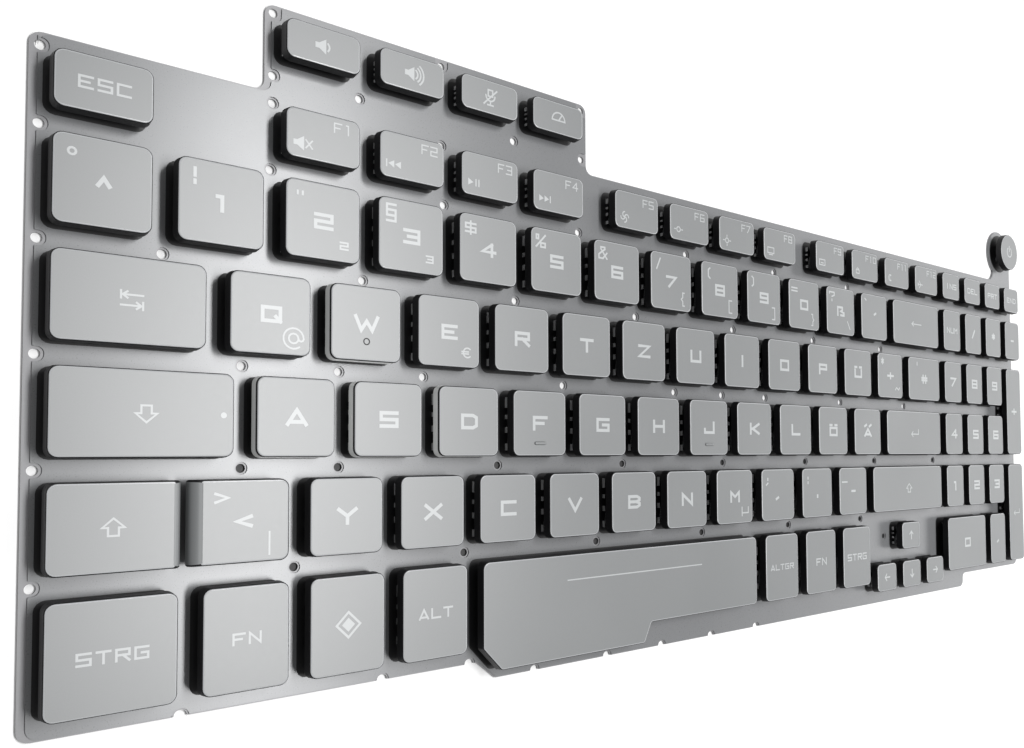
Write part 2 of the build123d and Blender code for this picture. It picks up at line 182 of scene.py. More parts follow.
# %% Cursor keys and number pad
CURSOR_W = (BLOCK_RIGHT - cursor_left - 2 * GAP) / 3
cursor_nodes = ["cursor_left_key", "cursor_down_key", "cursor_right_key"]
lay_row(cursor_nodes, ["left", "down", "right"], [CURSOR_W] * 3, cursor_left, CURSOR, CURSOR_D)
lay_row(["cursor_up_key"], ["up"], [CURSOR_W], cursor_left + CURSOR_W + GAP, BOTTOM_REAR - CURSOR_D, CURSOR_D)
pad_left, pad_step = BLOCK_RIGHT + GAP, PAD_W + GAP
lay_row([PAD] * 4, ["=INS", "=DEL", "=PRT", "=END"], [PAD_W] * 4, pad_left, FUNCTION, FUNCTION_D)
lay_row([PAD] * 4, ["=NUM", "/", "*", "-"], [PAD_W] * 4, pad_left, NUMBER, KEY_D)
for front, signs in ((UPPER, "789"), (HOME, "456"), (LOWER, "123")):
    lay_row([PAD] * 3, list(signs), [PAD_W] * 3, pad_left, front, KEY_D)
lay_row([PAD] * 2, ["0", ","], [PAD_W + pad_step, PAD_W], pad_left, BOTTOM, BOTTOM_D)
lay_row([PAD], ["+"], [PAD_W], pad_left + 3 * pad_step, HOME, PITCH + KEY_D)
lay_row([PAD], ["enter"], [PAD_W], pad_left + 3 * pad_step, BOTTOM, LOWER + KEY_D - BOTTOM)
print(len(keys) + 2, "keys with the space bar and the power key")

# %% [markdown]
# ## One outline for every rounded shape
# Caps, the painted shadows round the keys, plate and film are all polygons with rounded corners. Each corner
# of a
# polygon can be worked out at once: move both edges inwards, let them meet again, and lay an arc into the
# corner.

# %% Rounded outlines
LEAST_RADIUS = 0.01


def rounded(corners, radii, inset=0.0, steps=5):
    """Outline of a counter-clockwise polygon with arcs in its corners, moved inwards by inset.

    An arc turns from the edge that arrives to the edge that leaves. Its radius is the corner's radius less
    the inset, or plus the inset at an inner corner, so all insets of one polygon run side by side."""
    p = np.asarray(corners, float)
    leave = np.roll(p, -1, 0) - p
    leave /= np.linalg.norm(leave, axis=1, keepdims=True)
    arrive = np.roll(leave, 1, 0)
    turn = np.arctan2(arrive[:, 0] * leave[:, 1] - arrive[:, 1] * leave[:, 0], (arrive * leave).sum(1))
    n0 = np.stack([-arrive[:, 1], arrive[:, 0]], 1)
    n1 = np.stack([-leave[:, 1], leave[:, 0]], 1)
    meet = p + inset * (n0 + n1) / (1 + (n0 * n1).sum(1))[:, None]
    r = np.maximum(np.broadcast_to(np.asarray(radii, float), len(p)) - np.sign(turn) * inset, LEAST_RADIUS)
    start = meet - arrive * (r * np.tan(abs(turn) / 2))[:, None]
    centre = start + n0 * (np.sign(turn) * r)[:, None]
    a = turn[:, None] * np.linspace(0, 1, steps + 1)
    v = start - centre
    x = np.cos(a) * v[:, :1] - np.sin(a) * v[:, 1:]
    y = np.sin(a) * v[:, :1] + np.cos(a) * v[:, 1:]
    return (centre[:, None] + np.stack([x, y], -1)).reshape(-1, 2)


def rectangle(left, front, w, d):
    """Corners of a rectangle, counter-clockwise from its front left corner."""
    return np.array([[left, front], [left + w, front], [left + w, front + d], [left, front + d]])


print("a rounded key outline has", len(rounded(rectangle(0, 0, KEY_W, KEY_D), 1)), "points")

# %% [markdown]
# Surfaces are stored as rings of points. Two neighbouring rings of equal length make a band of quads, and
# the first and last ring may be closed by one flat face. The index arithmetic is done on whole arrays.

# %% Rings to faces


class Surface:
    """Collects points, faces and a finish number per face, and becomes one mesh."""

    def __init__(self):
        self.points, self.faces, self.finish, self.count, self.strokes = [], [], [], 0, 0

    def add(self, points, faces, finish):
        """Points and faces of one shape; its point numbers follow on from those already there."""
        self.points.append(np.asarray(points, float))
        self.faces += [[i + self.count for i in face] for face in faces]
        self.finish += list(finish)
        self.count += len(points)

    def loft(self, rings, finishes, close=(None, None)):
        """Bands of quads between rings of n points; finishes holds a number per band, or one per quad."""
        rings = np.asarray(rings, float)
        m, n = rings.shape[:2]
        i, j = np.meshgrid(np.arange(m - 1), np.arange(n), indexing="ij")
        k = (j + 1) % n
        corners = [i * n + j, i * n + k, (i + 1) * n + k, (i + 1) * n + j]
        faces = np.stack(corners, -1).reshape(-1, 4).tolist()
        finish = np.broadcast_to(np.reshape(finishes, (m - 1, -1)), (m - 1, n)).ravel().tolist()
        if close[0] is not None:
            faces.append(list(range(n))[::-1])
            finish.append(close[0])
        if close[1] is not None:
            faces.append(list(range((m - 1) * n, m * n)))
            finish.append(close[1])
        self.add(rings.reshape(-1, 3), faces, finish)

    def flat(self, outline, z, finish=0):
        """One flat face inside a counter-clockwise outline at a height."""
        self.add(ring(outline, z), [list(range(len(outline)))], [finish])

    def piece(self, name, body, materials, slot, replaces=(), smooth=35.0):
        """Mesh object at the origin that rides on a body of the frame."""
        mesh = bpy.data.meshes.new(name)
        points = np.concatenate(self.points)
        points[:, :2] -= ORIGIN
        mesh.from_pydata(points * MM, [], self.faces)
        mesh.polygons.foreach_set("material_index", np.array(self.finish, np.int32))
        for material in materials:
            mesh.materials.append(material)
        obj = bpy.data.objects.new(name, mesh)
        bpy.context.scene.collection.objects.link(obj)
        if smooth:
            mesh.shade_smooth()
            mesh.set_sharp_from_angle(angle=math.radians(smooth))
            mesh.polygons.foreach_set("use_smooth", [len(face) == 4 for face in self.faces])
        mesh.validate()
        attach(obj, body)
        if replaces:
            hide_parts(*replaces)
        return obj


def ring(outline, z):
    """Outline lifted to a height, as an n by 3 array."""
    return np.column_stack([outline, np.full(len(outline), z)])


# %% [markdown]
# ## Finishes
# Painted plastic and coated sheet are never one flat tone. A shared node group gives a fine grain and a
# slow cloud; each material takes them with its own strength into colour, roughness and bump.

# %% The shared grain
GRAIN_DETAIL, CLOUD_SCALE, CLOUD_DETAIL = 3.0, 22.0, 2.0


def build_grain():
    """Node group: Grain is a fine speckle, Cloud a slow change of tone, both around 0.5."""
    group = bpy.data.node_groups.new("satin_grain", "ShaderNodeTree")
    group.interface.new_socket("Fineness", in_out="INPUT", socket_type="NodeSocketFloat")
    for name in ("Grain", "Cloud"):
        group.interface.new_socket(name, in_out="OUTPUT", socket_type="NodeSocketFloat")
    inside, outside = group.nodes.new("NodeGroupInput"), group.nodes.new("NodeGroupOutput")
    place = group.nodes.new("ShaderNodeTexCoord")
    fine, slow = group.nodes.new("ShaderNodeTexNoise"), group.nodes.new("ShaderNodeTexNoise")
    fine.inputs["Detail"].default_value = GRAIN_DETAIL
    slow.inputs["Scale"].default_value = CLOUD_SCALE
    slow.inputs["Detail"].default_value = CLOUD_DETAIL
    group.links.new(inside.outputs["Fineness"], fine.inputs["Scale"])
    for noise, name in ((fine, "Grain"), (slow, "Cloud")):
        group.links.new(place.outputs["Object"], noise.inputs["Vector"])
        group.links.new(noise.outputs["Fac"], outside.inputs[name])
    return group


grain_group = build_grain()
print("node group", grain_group.name, "has", len(grain_group.nodes), "nodes")

# %% [markdown]
# One function makes every satin material from the group. The grain goes to roughness and bump, and the
# cloud with some grain picks a tone between two colours. What stays the same all over is set on the sockets.

# %% A satin material
GRAIN_SHARE, TONE_LOW, TONE_HIGH, RELIEF = 0.35, 0.3, 0.7, 0.02 * MM


def satin(name, dark, light, rough, fineness, bump, metallic=0.0, specular=0.5, **more):
    """Material whose colour runs between two tones and whose roughness and bump follow the grain.

    more holds further sockets of the shader, with an underscore for each blank of their names."""
    material = bpy.data.materials.new(name)
    material.use_nodes = True
    nodes, links = material.node_tree.nodes, material.node_tree.links
    shader = nodes["Principled BSDF"]
    shader.inputs["Metallic"].default_value = metallic
    shader.inputs["Specular IOR Level"].default_value = specular
    for socket, value in more.items():
        shader.inputs[socket.replace("_", " ")].default_value = value
    grain = nodes.new("ShaderNodeGroup")
    grain.node_tree = grain_group
    grain.inputs["Fineness"].default_value = fineness
    blend = nodes.new("ShaderNodeMix")
    blend.data_type = "FLOAT"
    blend.inputs[0].default_value = GRAIN_SHARE
    tone = nodes.new("ShaderNodeValToRGB")
    low, high = tone.color_ramp.elements
    low.position, high.position = TONE_LOW, TONE_HIGH
    low.color, high.color = (*dark, 1), (*light, 1)
    gloss = nodes.new("ShaderNodeMapRange")
    gloss.inputs["To Min"].default_value, gloss.inputs["To Max"].default_value = rough
    relief = nodes.new("ShaderNodeBump")
    relief.inputs["Strength"].default_value = bump
    relief.inputs["Distance"].default_value = RELIEF
    links.new(grain.outputs["Cloud"], blend.inputs[2])
    links.new(grain.outputs["Grain"], blend.inputs[3])
    links.new(blend.outputs[0], tone.inputs["Fac"])
    links.new(tone.outputs["Color"], shader.inputs["Base Color"])
    links.new(grain.outputs["Grain"], gloss.inputs["Value"])
    links.new(gloss.outputs["Result"], shader.inputs["Roughness"])
    links.new(grain.outputs["Grain"], relief.inputs["Height"])
    links.new(relief.outputs["Normal"], shader.inputs["Normal"])
    return material


# %% [markdown]
# Each finish is two tones, a span of roughness, the fineness of its grain and the depth of its bump. The caps
# are black plastic painted grey on top, with a lighter line along the edge of the top that is a painted
# highlight. The clear skirts let some light through, and a weak glow stands for the light that scatters
# inside them. Plate and membrane are coated sheets; a small metallic share gives them the deeper shine of
# paint on metal.

# %% The finishes of this keyboard
cap_paint = satin("cap_paint", (0.146, 0.153, 0.156), (0.176, 0.183, 0.186), (0.34, 0.43), 6000.0, 0.10,
                  specular=1.0)
# The lighter edge colour is a painted highlight along the rounded edge of every top
edge_highlight_paint = satin("painted_highlight_line", (0.36, 0.37, 0.38), (0.42, 0.43, 0.44), (0.25, 0.32), 6000.0, 0.05,
                 specular=0.8)
cap_side = satin("cap_side_black", (0.004, 0.004, 0.005), (0.008, 0.008, 0.009), (0.42, 0.55), 3000.0, 0.05,
                 specular=0.25)
cap_clear = satin("cap_skirt_clear", (0.78, 0.79, 0.78), (0.86, 0.87, 0.86), (0.12, 0.22), 1500.0, 0.03,
                  Transmission_Weight=0.15, IOR=1.49, Emission_Color=(0.8, 0.82, 0.8, 1.0),
                  Emission_Strength=0.1)
print_white = satin("sign_print", (0.36, 0.375, 0.38), (0.42, 0.435, 0.44), (0.35, 0.44), 5000.0, 0.05,
                    specular=1.0)
plate_coat = satin("plate_coat", (0.210, 0.210, 0.218), (0.245, 0.245, 0.253), (0.30, 0.40), 3500.0, 0.08,
                   metallic=0.10)
film_coat = satin("film_coat", (0.172, 0.176, 0.182), (0.194, 0.198, 0.204), (0.25, 0.32), 4500.0, 0.05,
                  metallic=0.10, specular=0.58)
# The hooks are steel; their near white colour is a painted glint
hook_steel_painted_glint = satin("hook_steel_painted_glint", (0.70, 0.71, 0.72), (0.85, 0.86, 0.87), (0.2, 0.3), 3000.0, 0.05,
                   metallic=0.3)
painted_shade_black = satin("painted_shade_black", (0.004, 0.004, 0.005), (0.009, 0.009, 0.010), (0.45, 0.6), 3000.0, 0.05)
link_plastic = satin("link_plastic", (0.055, 0.057, 0.060), (0.095, 0.097, 0.100), (0.2, 0.35), 2500.0, 0.05)
dome_rubber = satin("dome_rubber", (0.42, 0.42, 0.41), (0.50, 0.50, 0.49), (0.45, 0.6), 2500.0, 0.06)
wire_steel = satin("wire_steel", (0.42, 0.42, 0.43), (0.55, 0.55, 0.56), (0.22, 0.34), 3000.0, 0.05,
                   metallic=1.0)
CAP_FINISHES = [cap_paint, cap_side, cap_clear, print_white, edge_highlight_paint]
PAINT, SIDE, CLEAR, PRINT, LINE = range(5)
print(grain_group.users, "materials share", grain_group.name)

# %% [markdown]
# ## Printed signs
# The letters are drawn with a pen of constant width on a grid of four by six squares: every pair of digits
# is a place on that grid, and a blank lifts the pen. It is a plain, generic lettering, and because it is
# only strokes, one function can print letters, arrows and icons alike.

# %% The stroke alphabet
STROKES = {
    "A": "002640 1131", "B": "000636454433 3303 3342413000", "C": "46060040",
    "D": "00063645413000", "E": "46060040 0333", "F": "000646 0333", "G": "460600404323",
    "H": "0006 4046 0343", "I": "2026", "J": "46400002", "K": "0006 461340 0313", "L": "060040",
    "M": "0006234640", "N": "00064046",
    "O": "0006464000", "P": "00064643 4303", "Q": "0006464000 3240", "R": "00064643 4303 2340",
    "S": "460603434000", "T": "0646 2026", "U": "06004046", "V": "062046", "W": "0610243046",
    "X": "0046 0640", "Y": "062346 2320",
    "Z": "06460040", "Ä": "002540 1131 0718 3748", "Ö": "0005454000 0717 3747", "Ü": "05004045 0717 3747",
    "0": "0006464000", "1": "162620", "2": "064643030040", "3": "06464000 1343", "4": "3036 360242",
    "5": "460603434000", "6": "4606004043 4303", "7": "064610", "8": "0006464000 0343",
    "9": "0040460603 0343", "^": "122532", "!": "2326 2021", "\"": "1416 3436", "§": "3616143432 1412323010",
    "$": "450503434101 2026", "%": "0046 0406161404 2022424020", "&": "4015163635 35020020 2043", "/": "1036",
    "(": "36252130", ")": "16252110", "=": "0444 0242", "?": "0506464423 2021", "`": "1625", "´": "2536",
    "ß": "0006363423424020", "{": "36262413222030", "}": "16262433222010", "[": "36161030", "]": "16363010",
    "\\": "1630", "~": "02143244", "*": "2226 1335 1533", "+": "2125 0343", "#": "1016 3036 0444 0242",
    "'": "2426", "<": "350331", ">": "154311", ",": "2110", ";": "2324 2110", ".": "2021", ":": "2021 2324",
    "-": "1333", "_": "0040", "µ": "0600 0242 4642",
    "²": "064643030040", "³": "06464000 1343", "|": "2026",
}


def pen_lines(text):
    """Pen strokes of one sign as a list of n by 2 arrays on the grid."""
    lines = []
    for part in STROKES[text].split():
        digits = np.array([int(c) for c in part], float)
        lines.append(digits.reshape(-1, 2))
    return lines


ROUND = "°@€"
print(len(STROKES) + len(ROUND), "signs in the alphabet")

# %% [markdown]
# A stroke is its line moved to both sides by half a pen width. At a bend the two shifted edges meet on the
# bisector; very sharp bends are cut short so that no spike grows.

# %% Strokes to flat ribbons
SIGN_LIFT, STROKE_LIFT, LIFTS = 0.012, 0.0025, 8
TINY, LEAST_COSINE = 1e-9, 0.45


def next_height(surface):
    """Height for the next stroke of a key: crossing strokes lie a hair above each other."""
    surface.strokes += 1
    return TOP_Z + SIGN_LIFT + STROKE_LIFT * (surface.strokes % LIFTS)


def patch(surface, outline, finish=PRINT):
    """Filled flat shape inside a counter-clockwise outline."""
    surface.flat(outline, next_height(surface), finish)


def ribbon(surface, line, pen, finish=PRINT):
    """Flat band along a line. Each point moves along the mean of its two edge normals, divided by the cosine
    of half the bend, to both sides by half the pen; open ends are lengthened by half the pen."""
    line = np.asarray(line, float)
    z = next_height(surface)
    closed = len(line) > 3 and np.allclose(line[0], line[-1])
    step = np.diff(line, axis=0)
    step /= np.maximum(np.linalg.norm(step, axis=1, keepdims=True), TINY)
    normal = np.column_stack([-step[:, 1], step[:, 0]])
    before = np.vstack([normal[-1:] if closed else normal[:1], normal])
    after = np.vstack([normal, normal[:1] if closed else normal[-1:]])
    mean = before + after
    cosine = np.maximum(np.sqrt(np.maximum((mean * mean).sum(1, keepdims=True), TINY)) / 2, LEAST_COSINE)
    side = mean / np.maximum(np.linalg.norm(mean, axis=1, keepdims=True), TINY) / cosine * pen / 2
    if not closed:
        line = line.copy()
        line[0] -= step[0] * pen / 2
        line[-1] += step[-1] * pen / 2
    n = len(line)
    points = np.vstack([ring(line - side, z), ring(line + side, z)])
    i = np.arange(n - 1)
    surface.add(points, np.column_stack([i, i + 1, n + i + 1, n + i]).tolist(), [finish] * (n - 1))


# %% [markdown]
# Words are signs in a row, each one scaled from the grid to its height and width. The round signs are drawn
# as arcs, which also make up many of the icons.

# %% Words and arcs
GRID, ADVANCE = np.array([4, 6]), 1.22


def write(surface, text, middle, height, width, pen):
    """Text centred on a point; each sign is height tall and width wide over its ink, with small gaps."""
    advance = width * ADVANCE
    cell = (np.array([width, height]) - pen) / GRID
    start = middle[0] - (len(text) - 1) * advance / 2
    for place, sign in enumerate(text):
        spot = (start + place * advance, middle[1])
        if sign in ROUND:
            draw(surface, sign, spot, height, pen)
            continue
        for line in pen_lines(sign):
            ribbon(surface, (line - GRID / 2) * cell + spot, pen)


def arc(middle, radius, first, last, n=9):
    """Points on an arc between two angles in degrees."""
    a = np.radians(np.linspace(first, last, n))
    return np.column_stack([middle[0] + radius * np.cos(a), middle[1] + radius * np.sin(a)])


# %% [markdown]
# Arrows and icons are lists of lines around the origin, one millimetre to the unit. They are plain signs of
# the kind found on any keyboard.

# %% Arrows and icons
BLOCK_ARROW = [[(0, 1.7), (-1.9, 0), (-0.9, 0), (-0.9, -1.5), (0.9, -1.5), (0.9, 0), (1.9, 0), (0, 1.7)]]
CONE = [(-1.9, -0.55), (-1.1, -0.55), (0.3, -1.5), (0.3, 1.5), (-1.1, 0.55), (-1.9, 0.55)]
BACK_A, BACK_B = [(-1.4, 0), (0, -0.8), (0, 0.8)], [(0.2, 0), (1.6, -0.8), (1.6, 0.8)]
SUN = [arc((0, 0), 0.7, 0, 360, 13), [(-1.6, 0), (-1.1, 0)], [(1.1, 0), (1.6, 0)]]
FILLS = {"speaker": [CONE], "loud": [CONE], "mute": [CONE], "rewind": [BACK_A, BACK_B],
         "forward": [[(-x, -y) for x, y in tri] for tri in (BACK_A, BACK_B)],
         "play": [[(-1.6, 0.8), (-1.6, -0.8), (-0.2, 0)]],
         "system": [[(1.5, 0), (0, 1.5), (-1.5, 0), (0, -1.5)]]}
ICONS = {
    "back": [[(3.4, 0), (-3.4, 0)], [(-2.2, 0.8), (-3.4, 0), (-2.2, -0.8)]],
    "tab": [[(-1.6, 1.0), (1.9, 1.0)], [(-0.8, 1.6), (-1.6, 1.0), (-0.8, 0.4)], [(-1.9, 0.3), (-1.9, 1.7)],
            [(1.6, -1.0), (-1.9, -1.0)], [(0.8, -1.6), (1.6, -1.0), (0.8, -0.4)], [(1.9, -0.3), (1.9, -1.7)]],
    "shift": BLOCK_ARROW,
    "caps": [[(x, -y) for x, y in BLOCK_ARROW[0]]],
    "enter": [[(2.6, 1.2), (2.6, -0.5), (-2.4, -0.5)], [(-1.4, 0.4), (-2.4, -0.5), (-1.4, -1.4)]],
    "system": [[(0, 2.7), (2.7, 0), (0, -2.7), (-2.7, 0), (0, 2.7)]],
    "left": [[(1.5, 0), (-1.5, 0)], [(-0.5, 1.1), (-1.5, 0), (-0.5, -1.1)]],
    "right": [[(-1.5, 0), (1.5, 0)], [(0.5, 1.1), (1.5, 0), (0.5, -1.1)]],
    "up": [[(0, -1.4), (0, 1.4)], [(-1.1, 0.4), (0, 1.4), (1.1, 0.4)]],
    "down": [[(0, 1.4), (0, -1.4)], [(-1.1, -0.4), (0, -1.4), (1.1, -0.4)]],
    "speaker": [arc((0, 0), 1.0, -45, 45, 5)],
    "loud": [arc((0, 0), r, -50, 50) for r in (1.1, 1.8, 2.5)],
    "microphone": [[(-0.6, 0.2), (-0.6, 1.6), (0.6, 1.6), (0.6, 0.2), (-0.6, 0.2)],
                   arc((0, 0.3), 1.2, 180, 360), [(0, -0.9), (0, -1.8)],
                   [(-0.7, -1.8), (0.7, -1.8)], [(1.7, 1.7), (-1.7, -1.7)]],
    "gauge": [arc((0, -0.6), 1.9, 0, 180, 13), [(0, -0.6), (0.9, 0.7)], [(-1.9, -0.6), (1.9, -0.6)]],
    "mute": [[(0.7, 0.8), (2.0, -0.8)], [(0.7, -0.8), (2.0, 0.8)]],
    "rewind": [[(-1.8, -0.7), (-1.8, 0.7)]],
    "forward": [[(1.8, -0.7), (1.8, 0.7)]],
    "play": [[(0.5, -0.7), (0.5, 0.7)], [(1.3, -0.7), (1.3, 0.7)]],
    "fan": [arc((0.7, 0), 0.7, 0, 180), arc((-0.7, 0), 0.7, 180, 360), arc((0, 0.7), 0.7, 90, 270),
            arc((0, -0.7), 0.7, -90, 90)],
    "dim": SUN,
    "bright": SUN + [[(0, 1.1), (0, 1.5)], [(0, -1.1), (0, -1.5)]],
    "screen": [[(-1.5, -0.8), (1.5, -0.8), (1.5, 0.9), (-1.5, 0.9), (-1.5, -0.8)],
               [(-0.8, -1.3), (0.8, -1.3)]],
    "panel": [[(-1.5, -0.9), (1.5, -0.9), (1.5, 0.9), (-1.5, 0.9), (-1.5, -0.9)],
              [(-0.6, -0.2), (0.6, -0.2)]],
    "lock": [[(-0.9, -1.0), (0.9, -1.0), (0.9, 0.2), (-0.9, 0.2), (-0.9, -1.0)], arc((0, 0.2), 0.6, 0, 180)],
    "moon": [arc((0, 0), 1.1, 60, 300, 13), arc((0.55, 0), 0.95, 90, 270, 9)],
    "plane": [[(-1.5, 0), (1.6, 0)], [(-0.6, 1.3), (0.5, 0), (-0.6, -1.3)],
              [(-1.5, 0.5), (-1.1, 0), (-1.5, -0.5)]],
    "power": [arc((0, 0), 1.9, 125, 415, 17), [(0, 0.4), (0, 2.4)]],
    "°": [arc((0, 0.1), 0.3, 0, 360, 13)],
    "@": [arc((0, 0), 0.5, 305, 0, 17), arc((0, 0), 0.24, 0, 360, 13), arc((0.37, 0), 0.13, 180, 360, 5)],
    "€": [arc((0.1, 0), 0.45, 50, 310, 13), [(-0.5, 0.1), (0.2, 0.1)], [(-0.5, -0.1), (0.2, -0.1)]],
}


def draw(surface, icon, middle, scale, pen):
    """Icon around a point: filled shapes first, then its lines."""
    for outline in FILLS.get(icon, []):
        patch(surface, np.asarray(outline, float) * scale + middle)
    for line in ICONS[icon]:
        ribbon(surface, np.asarray(line, float) * scale + middle, pen)


print(len(ICONS), "icons")

# %% [markdown]
# What is printed where follows the photo: a lone letter sits in the middle; number keys have the shifted
# sign at the rear left and the third sign at the front right; function keys carry their name at the rear
# right and their icon at the front left.

# %% Print one key
LETTER_SIZE, MAIN_SIZE = (3.4, 4.25, 0.74), (3.2, 4.0, 0.7)
WIDE_LETTERS, WIDER = "WM", 1.28
BRACKET_SIZE, RAISED_SIZE = (3.8, 2.6, 0.36), (1.65, 1.9, 0.34)
SHIFTED = {"°": (1.9, 1.9, 0.38), '"': (2.0, 2.4, 0.4), ">": (2.8, 3.4, 0.5), "!": (3.2, 3.0, 0.58),
           "§": (3.9, 4.4, 0.5)}
THIRD = {"²": RAISED_SIZE, "³": RAISED_SIZE, "@": (3.9, 4.4, 0.34), "|": (4.4, 3.0, 0.36),
         "€": (2.3, 3.0, 0.32), "{": BRACKET_SIZE, "[": BRACKET_SIZE, "]": BRACKET_SIZE, "}": BRACKET_SIZE}
# Special sizes, usual size (height, width and pen) and place of the shifted and the third sign
CORNER_SIGNS = [(SHIFTED, (3.2, 3.0, 0.44), (-4.7, 4.3)), (THIRD, (2.7, 3.0, 0.36), (4.2, -4.2))]
WORD_W, WORD_MARGIN, WORD_H_SHARE, WORD_PEN_SHARE = 2.35, 4.0, 0.95, 0.17
NAME_SIZE, NAME_X, NAME_Y, NAME_SHIFT = (2.1, 1.75, 0.27), 3.9, 2.6, 0.5
FUNCTION_ICON_AT, FUNCTION_ICON_SIZE = (-4.3, -1.9), (0.95, 0.3)
HOT_ICON_SIZE, ICON_SCALE, ICON_PEN, THIN_PEN = (1.0, 0.36), 0.9, 0.45, 0.34
THIN_ICONS = ("tab", "caps", "shift", "back", "enter")


def print_sign(surface, key):
    """Signs of one key, on top of its cap."""
    sign, middle = key["sign"], middle_of(key)
    if sign.startswith("="):
        width = min(WORD_W, (key["w"] - WORD_MARGIN) / ADVANCE / (len(sign) - 1))
        write(surface, sign[1:], middle, WORD_H_SHARE * width, width, WORD_PEN_SHARE * width)
    elif sign.startswith("fn:"):
        name, icon = sign.split(":")[1:]
        write(surface, name, middle + (NAME_X - NAME_SHIFT * (len(name) - 2), NAME_Y), *NAME_SIZE)
        draw(surface, icon, middle + FUNCTION_ICON_AT, *FUNCTION_ICON_SIZE)
    elif sign.startswith("hot:"):
        draw(surface, sign[4:], middle, *HOT_ICON_SIZE)
    elif sign in ICONS:
        draw(surface, sign, middle, ICON_SCALE, THIN_PEN if sign in THIN_ICONS else ICON_PEN)
    elif "|" not in sign:
        tall, wide, pen = LETTER_SIZE
        write(surface, sign, middle, tall, wide * (WIDER if sign in WIDE_LETTERS else 1.0), pen)
    else:
        main, *corners = sign.split("|", 2)
        write(surface, main, middle, *MAIN_SIZE)
        for text, (special, usual, place) in zip(corners, CORNER_SIGNS):
            if text:
                write(surface, text, middle + place, *special.get(text, usual))


print(sum("|" in key["sign"] for key in keys), "keys have more than one sign")

# %% [markdown]
# ## Keycaps
# A cap is a thin tray turned upside down. Its profile runs from the middle of the ceiling down the inner
# wall, round the rim, up the flank and over a small edge round onto the top, and this profile is carried
# round the outline of the key. The top is painted grey, with a fine dark line and a light line along its
# edge; the light line is a painted highlight. Flank and rim stay black, or clear on four keys.

# %% Cap surface
WALL, CORNER, FLARE, RIM_ROUND = 0.9, 1.6, 0.15, 0.12
BEND_LEAN, BEND_DROP, EDGE_LEAN, EDGE = 0.22, 0.5, 0.1, 0.2
LINE_LEAN, LINE_IN, LINE_DROP = 0.03, 0.14, 0.05
ROLL_ANGLES, ROLL_DROP = [15, 30, 45, 60, 72, 82], 0.06


def cap(surface, top, rim, radius=CORNER, flank=SIDE, rolled=None, steps=5):
    """Tray between the outline of the top and the outline of the rim.

    Each step of the profile is an outline between the two, an inset and a height. The last two bands are the
    dark line and the light line round the top. rolled names the quads of each band on a side that rolls over
    in a quarter ellipse and is painted like the top."""
    def lean(share):
        return top + (rim - top) * share
    foot = CAP_Z + RIM_ROUND
    profile = [(top, WALL, CEILING_Z), (top, WALL, CAP_Z), (rim, RIM_ROUND, CAP_Z), (rim, 0.0, foot)]
    if rolled is None:
        profile += [(lean(BEND_LEAN), 0.0, TOP_Z - BEND_DROP), (lean(EDGE_LEAN), 0.0, TOP_Z - EDGE)]
    else:
        turn, rise = np.radians(ROLL_ANGLES), TOP_Z - ROLL_DROP - foot
        profile += [(lean(c), 0.0, foot + rise * s) for c, s in zip(np.cos(turn), np.sin(turn))]
    profile += [(lean(LINE_LEAN), LINE_IN, TOP_Z - LINE_DROP), (top, LINE_IN + EDGE, TOP_Z)]
    rings = [ring(rounded(corners, radius, inset, steps), z) for corners, inset, z in profile]
    # The last band, LINE, takes the lighter edge colour as a painted highlight round the top
    bands = [[SIDE], [SIDE], [flank], [flank]] + [[SIDE]] * (len(rings) - 6) + [[LINE]]
    finishes = np.repeat(bands, len(rings[0]), axis=1)
    if rolled is not None:
        finishes[3:, rolled] = PAINT
    surface.loft(rings, finishes, close=(SIDE, PAINT))


# %% [markdown]
# Most rims are only a little wider than their tops. The left shift key and its neighbour lean towards each
# other with a long rolled slope that closes the gap between them, so these two need slopes of their own.

# %% Rims and rolled sides
CLEAR_KEYS = ("key_w", "key_a", "key_s", "key_d")
SHIFT_SLOPE, ANGLE_SLOPE, SLOPE_R = 1.1, 1.9, 0.5
# Slopes to the left and right, rolled quads and corner radii; a band has 24 quads, 11 right and 23 left
UPRIGHT = ((FLARE, FLARE), None, CORNER)
ROLLED = {
    "left_shift_key": ((FLARE, SHIFT_SLOPE), [10, 11, 12], [CORNER, SLOPE_R, SLOPE_R, CORNER]),
    "key_angle_bracket": ((ANGLE_SLOPE, FLARE), [22, 23, 0], [SLOPE_R, CORNER, CORNER, SLOPE_R]),
}


def cap_of(surface, key):
    """Cap of one key with its signs; the rim is the top moved out by the slope of each side."""
    (left, right), rolled, radius = ROLLED.get(key["node"], UPRIGHT)
    top = rectangle(key["left"], key["front"], key["w"], key["d"])
    rim = top + np.array([[-left, -FLARE], [right, -FLARE], [right, FLARE], [-left, FLARE]])
    cap(surface, top, rim, radius, CLEAR if key["node"] in CLEAR_KEYS else SIDE, rolled)
    print_sign(surface, key)


print(len(CLEAR_KEYS), "clear skirts,", len(ROLLED), "rolled sides")

# %% [markdown]
# The home keys have a small raised bar that a finger can feel, one key has a ring mark under its letter, and
# the capitals key has a round light window.

# %% Bars, ring and light window
BAR_L, BAR_W, BAR_FROM_FRONT, BAR_R = 3.3, 0.8, 2.5, 0.38
BAR_PROFILE = ((0, 0), (0.02, 0.12), (0.12, 0.22), (0.25, 0.245))
RING_DROP, RING_R, RING_PEN = 3.6, 0.62, 0.22
WINDOW_X, WINDOW_R, WINDOW_PEN = 27.2, 0.28, 0.5


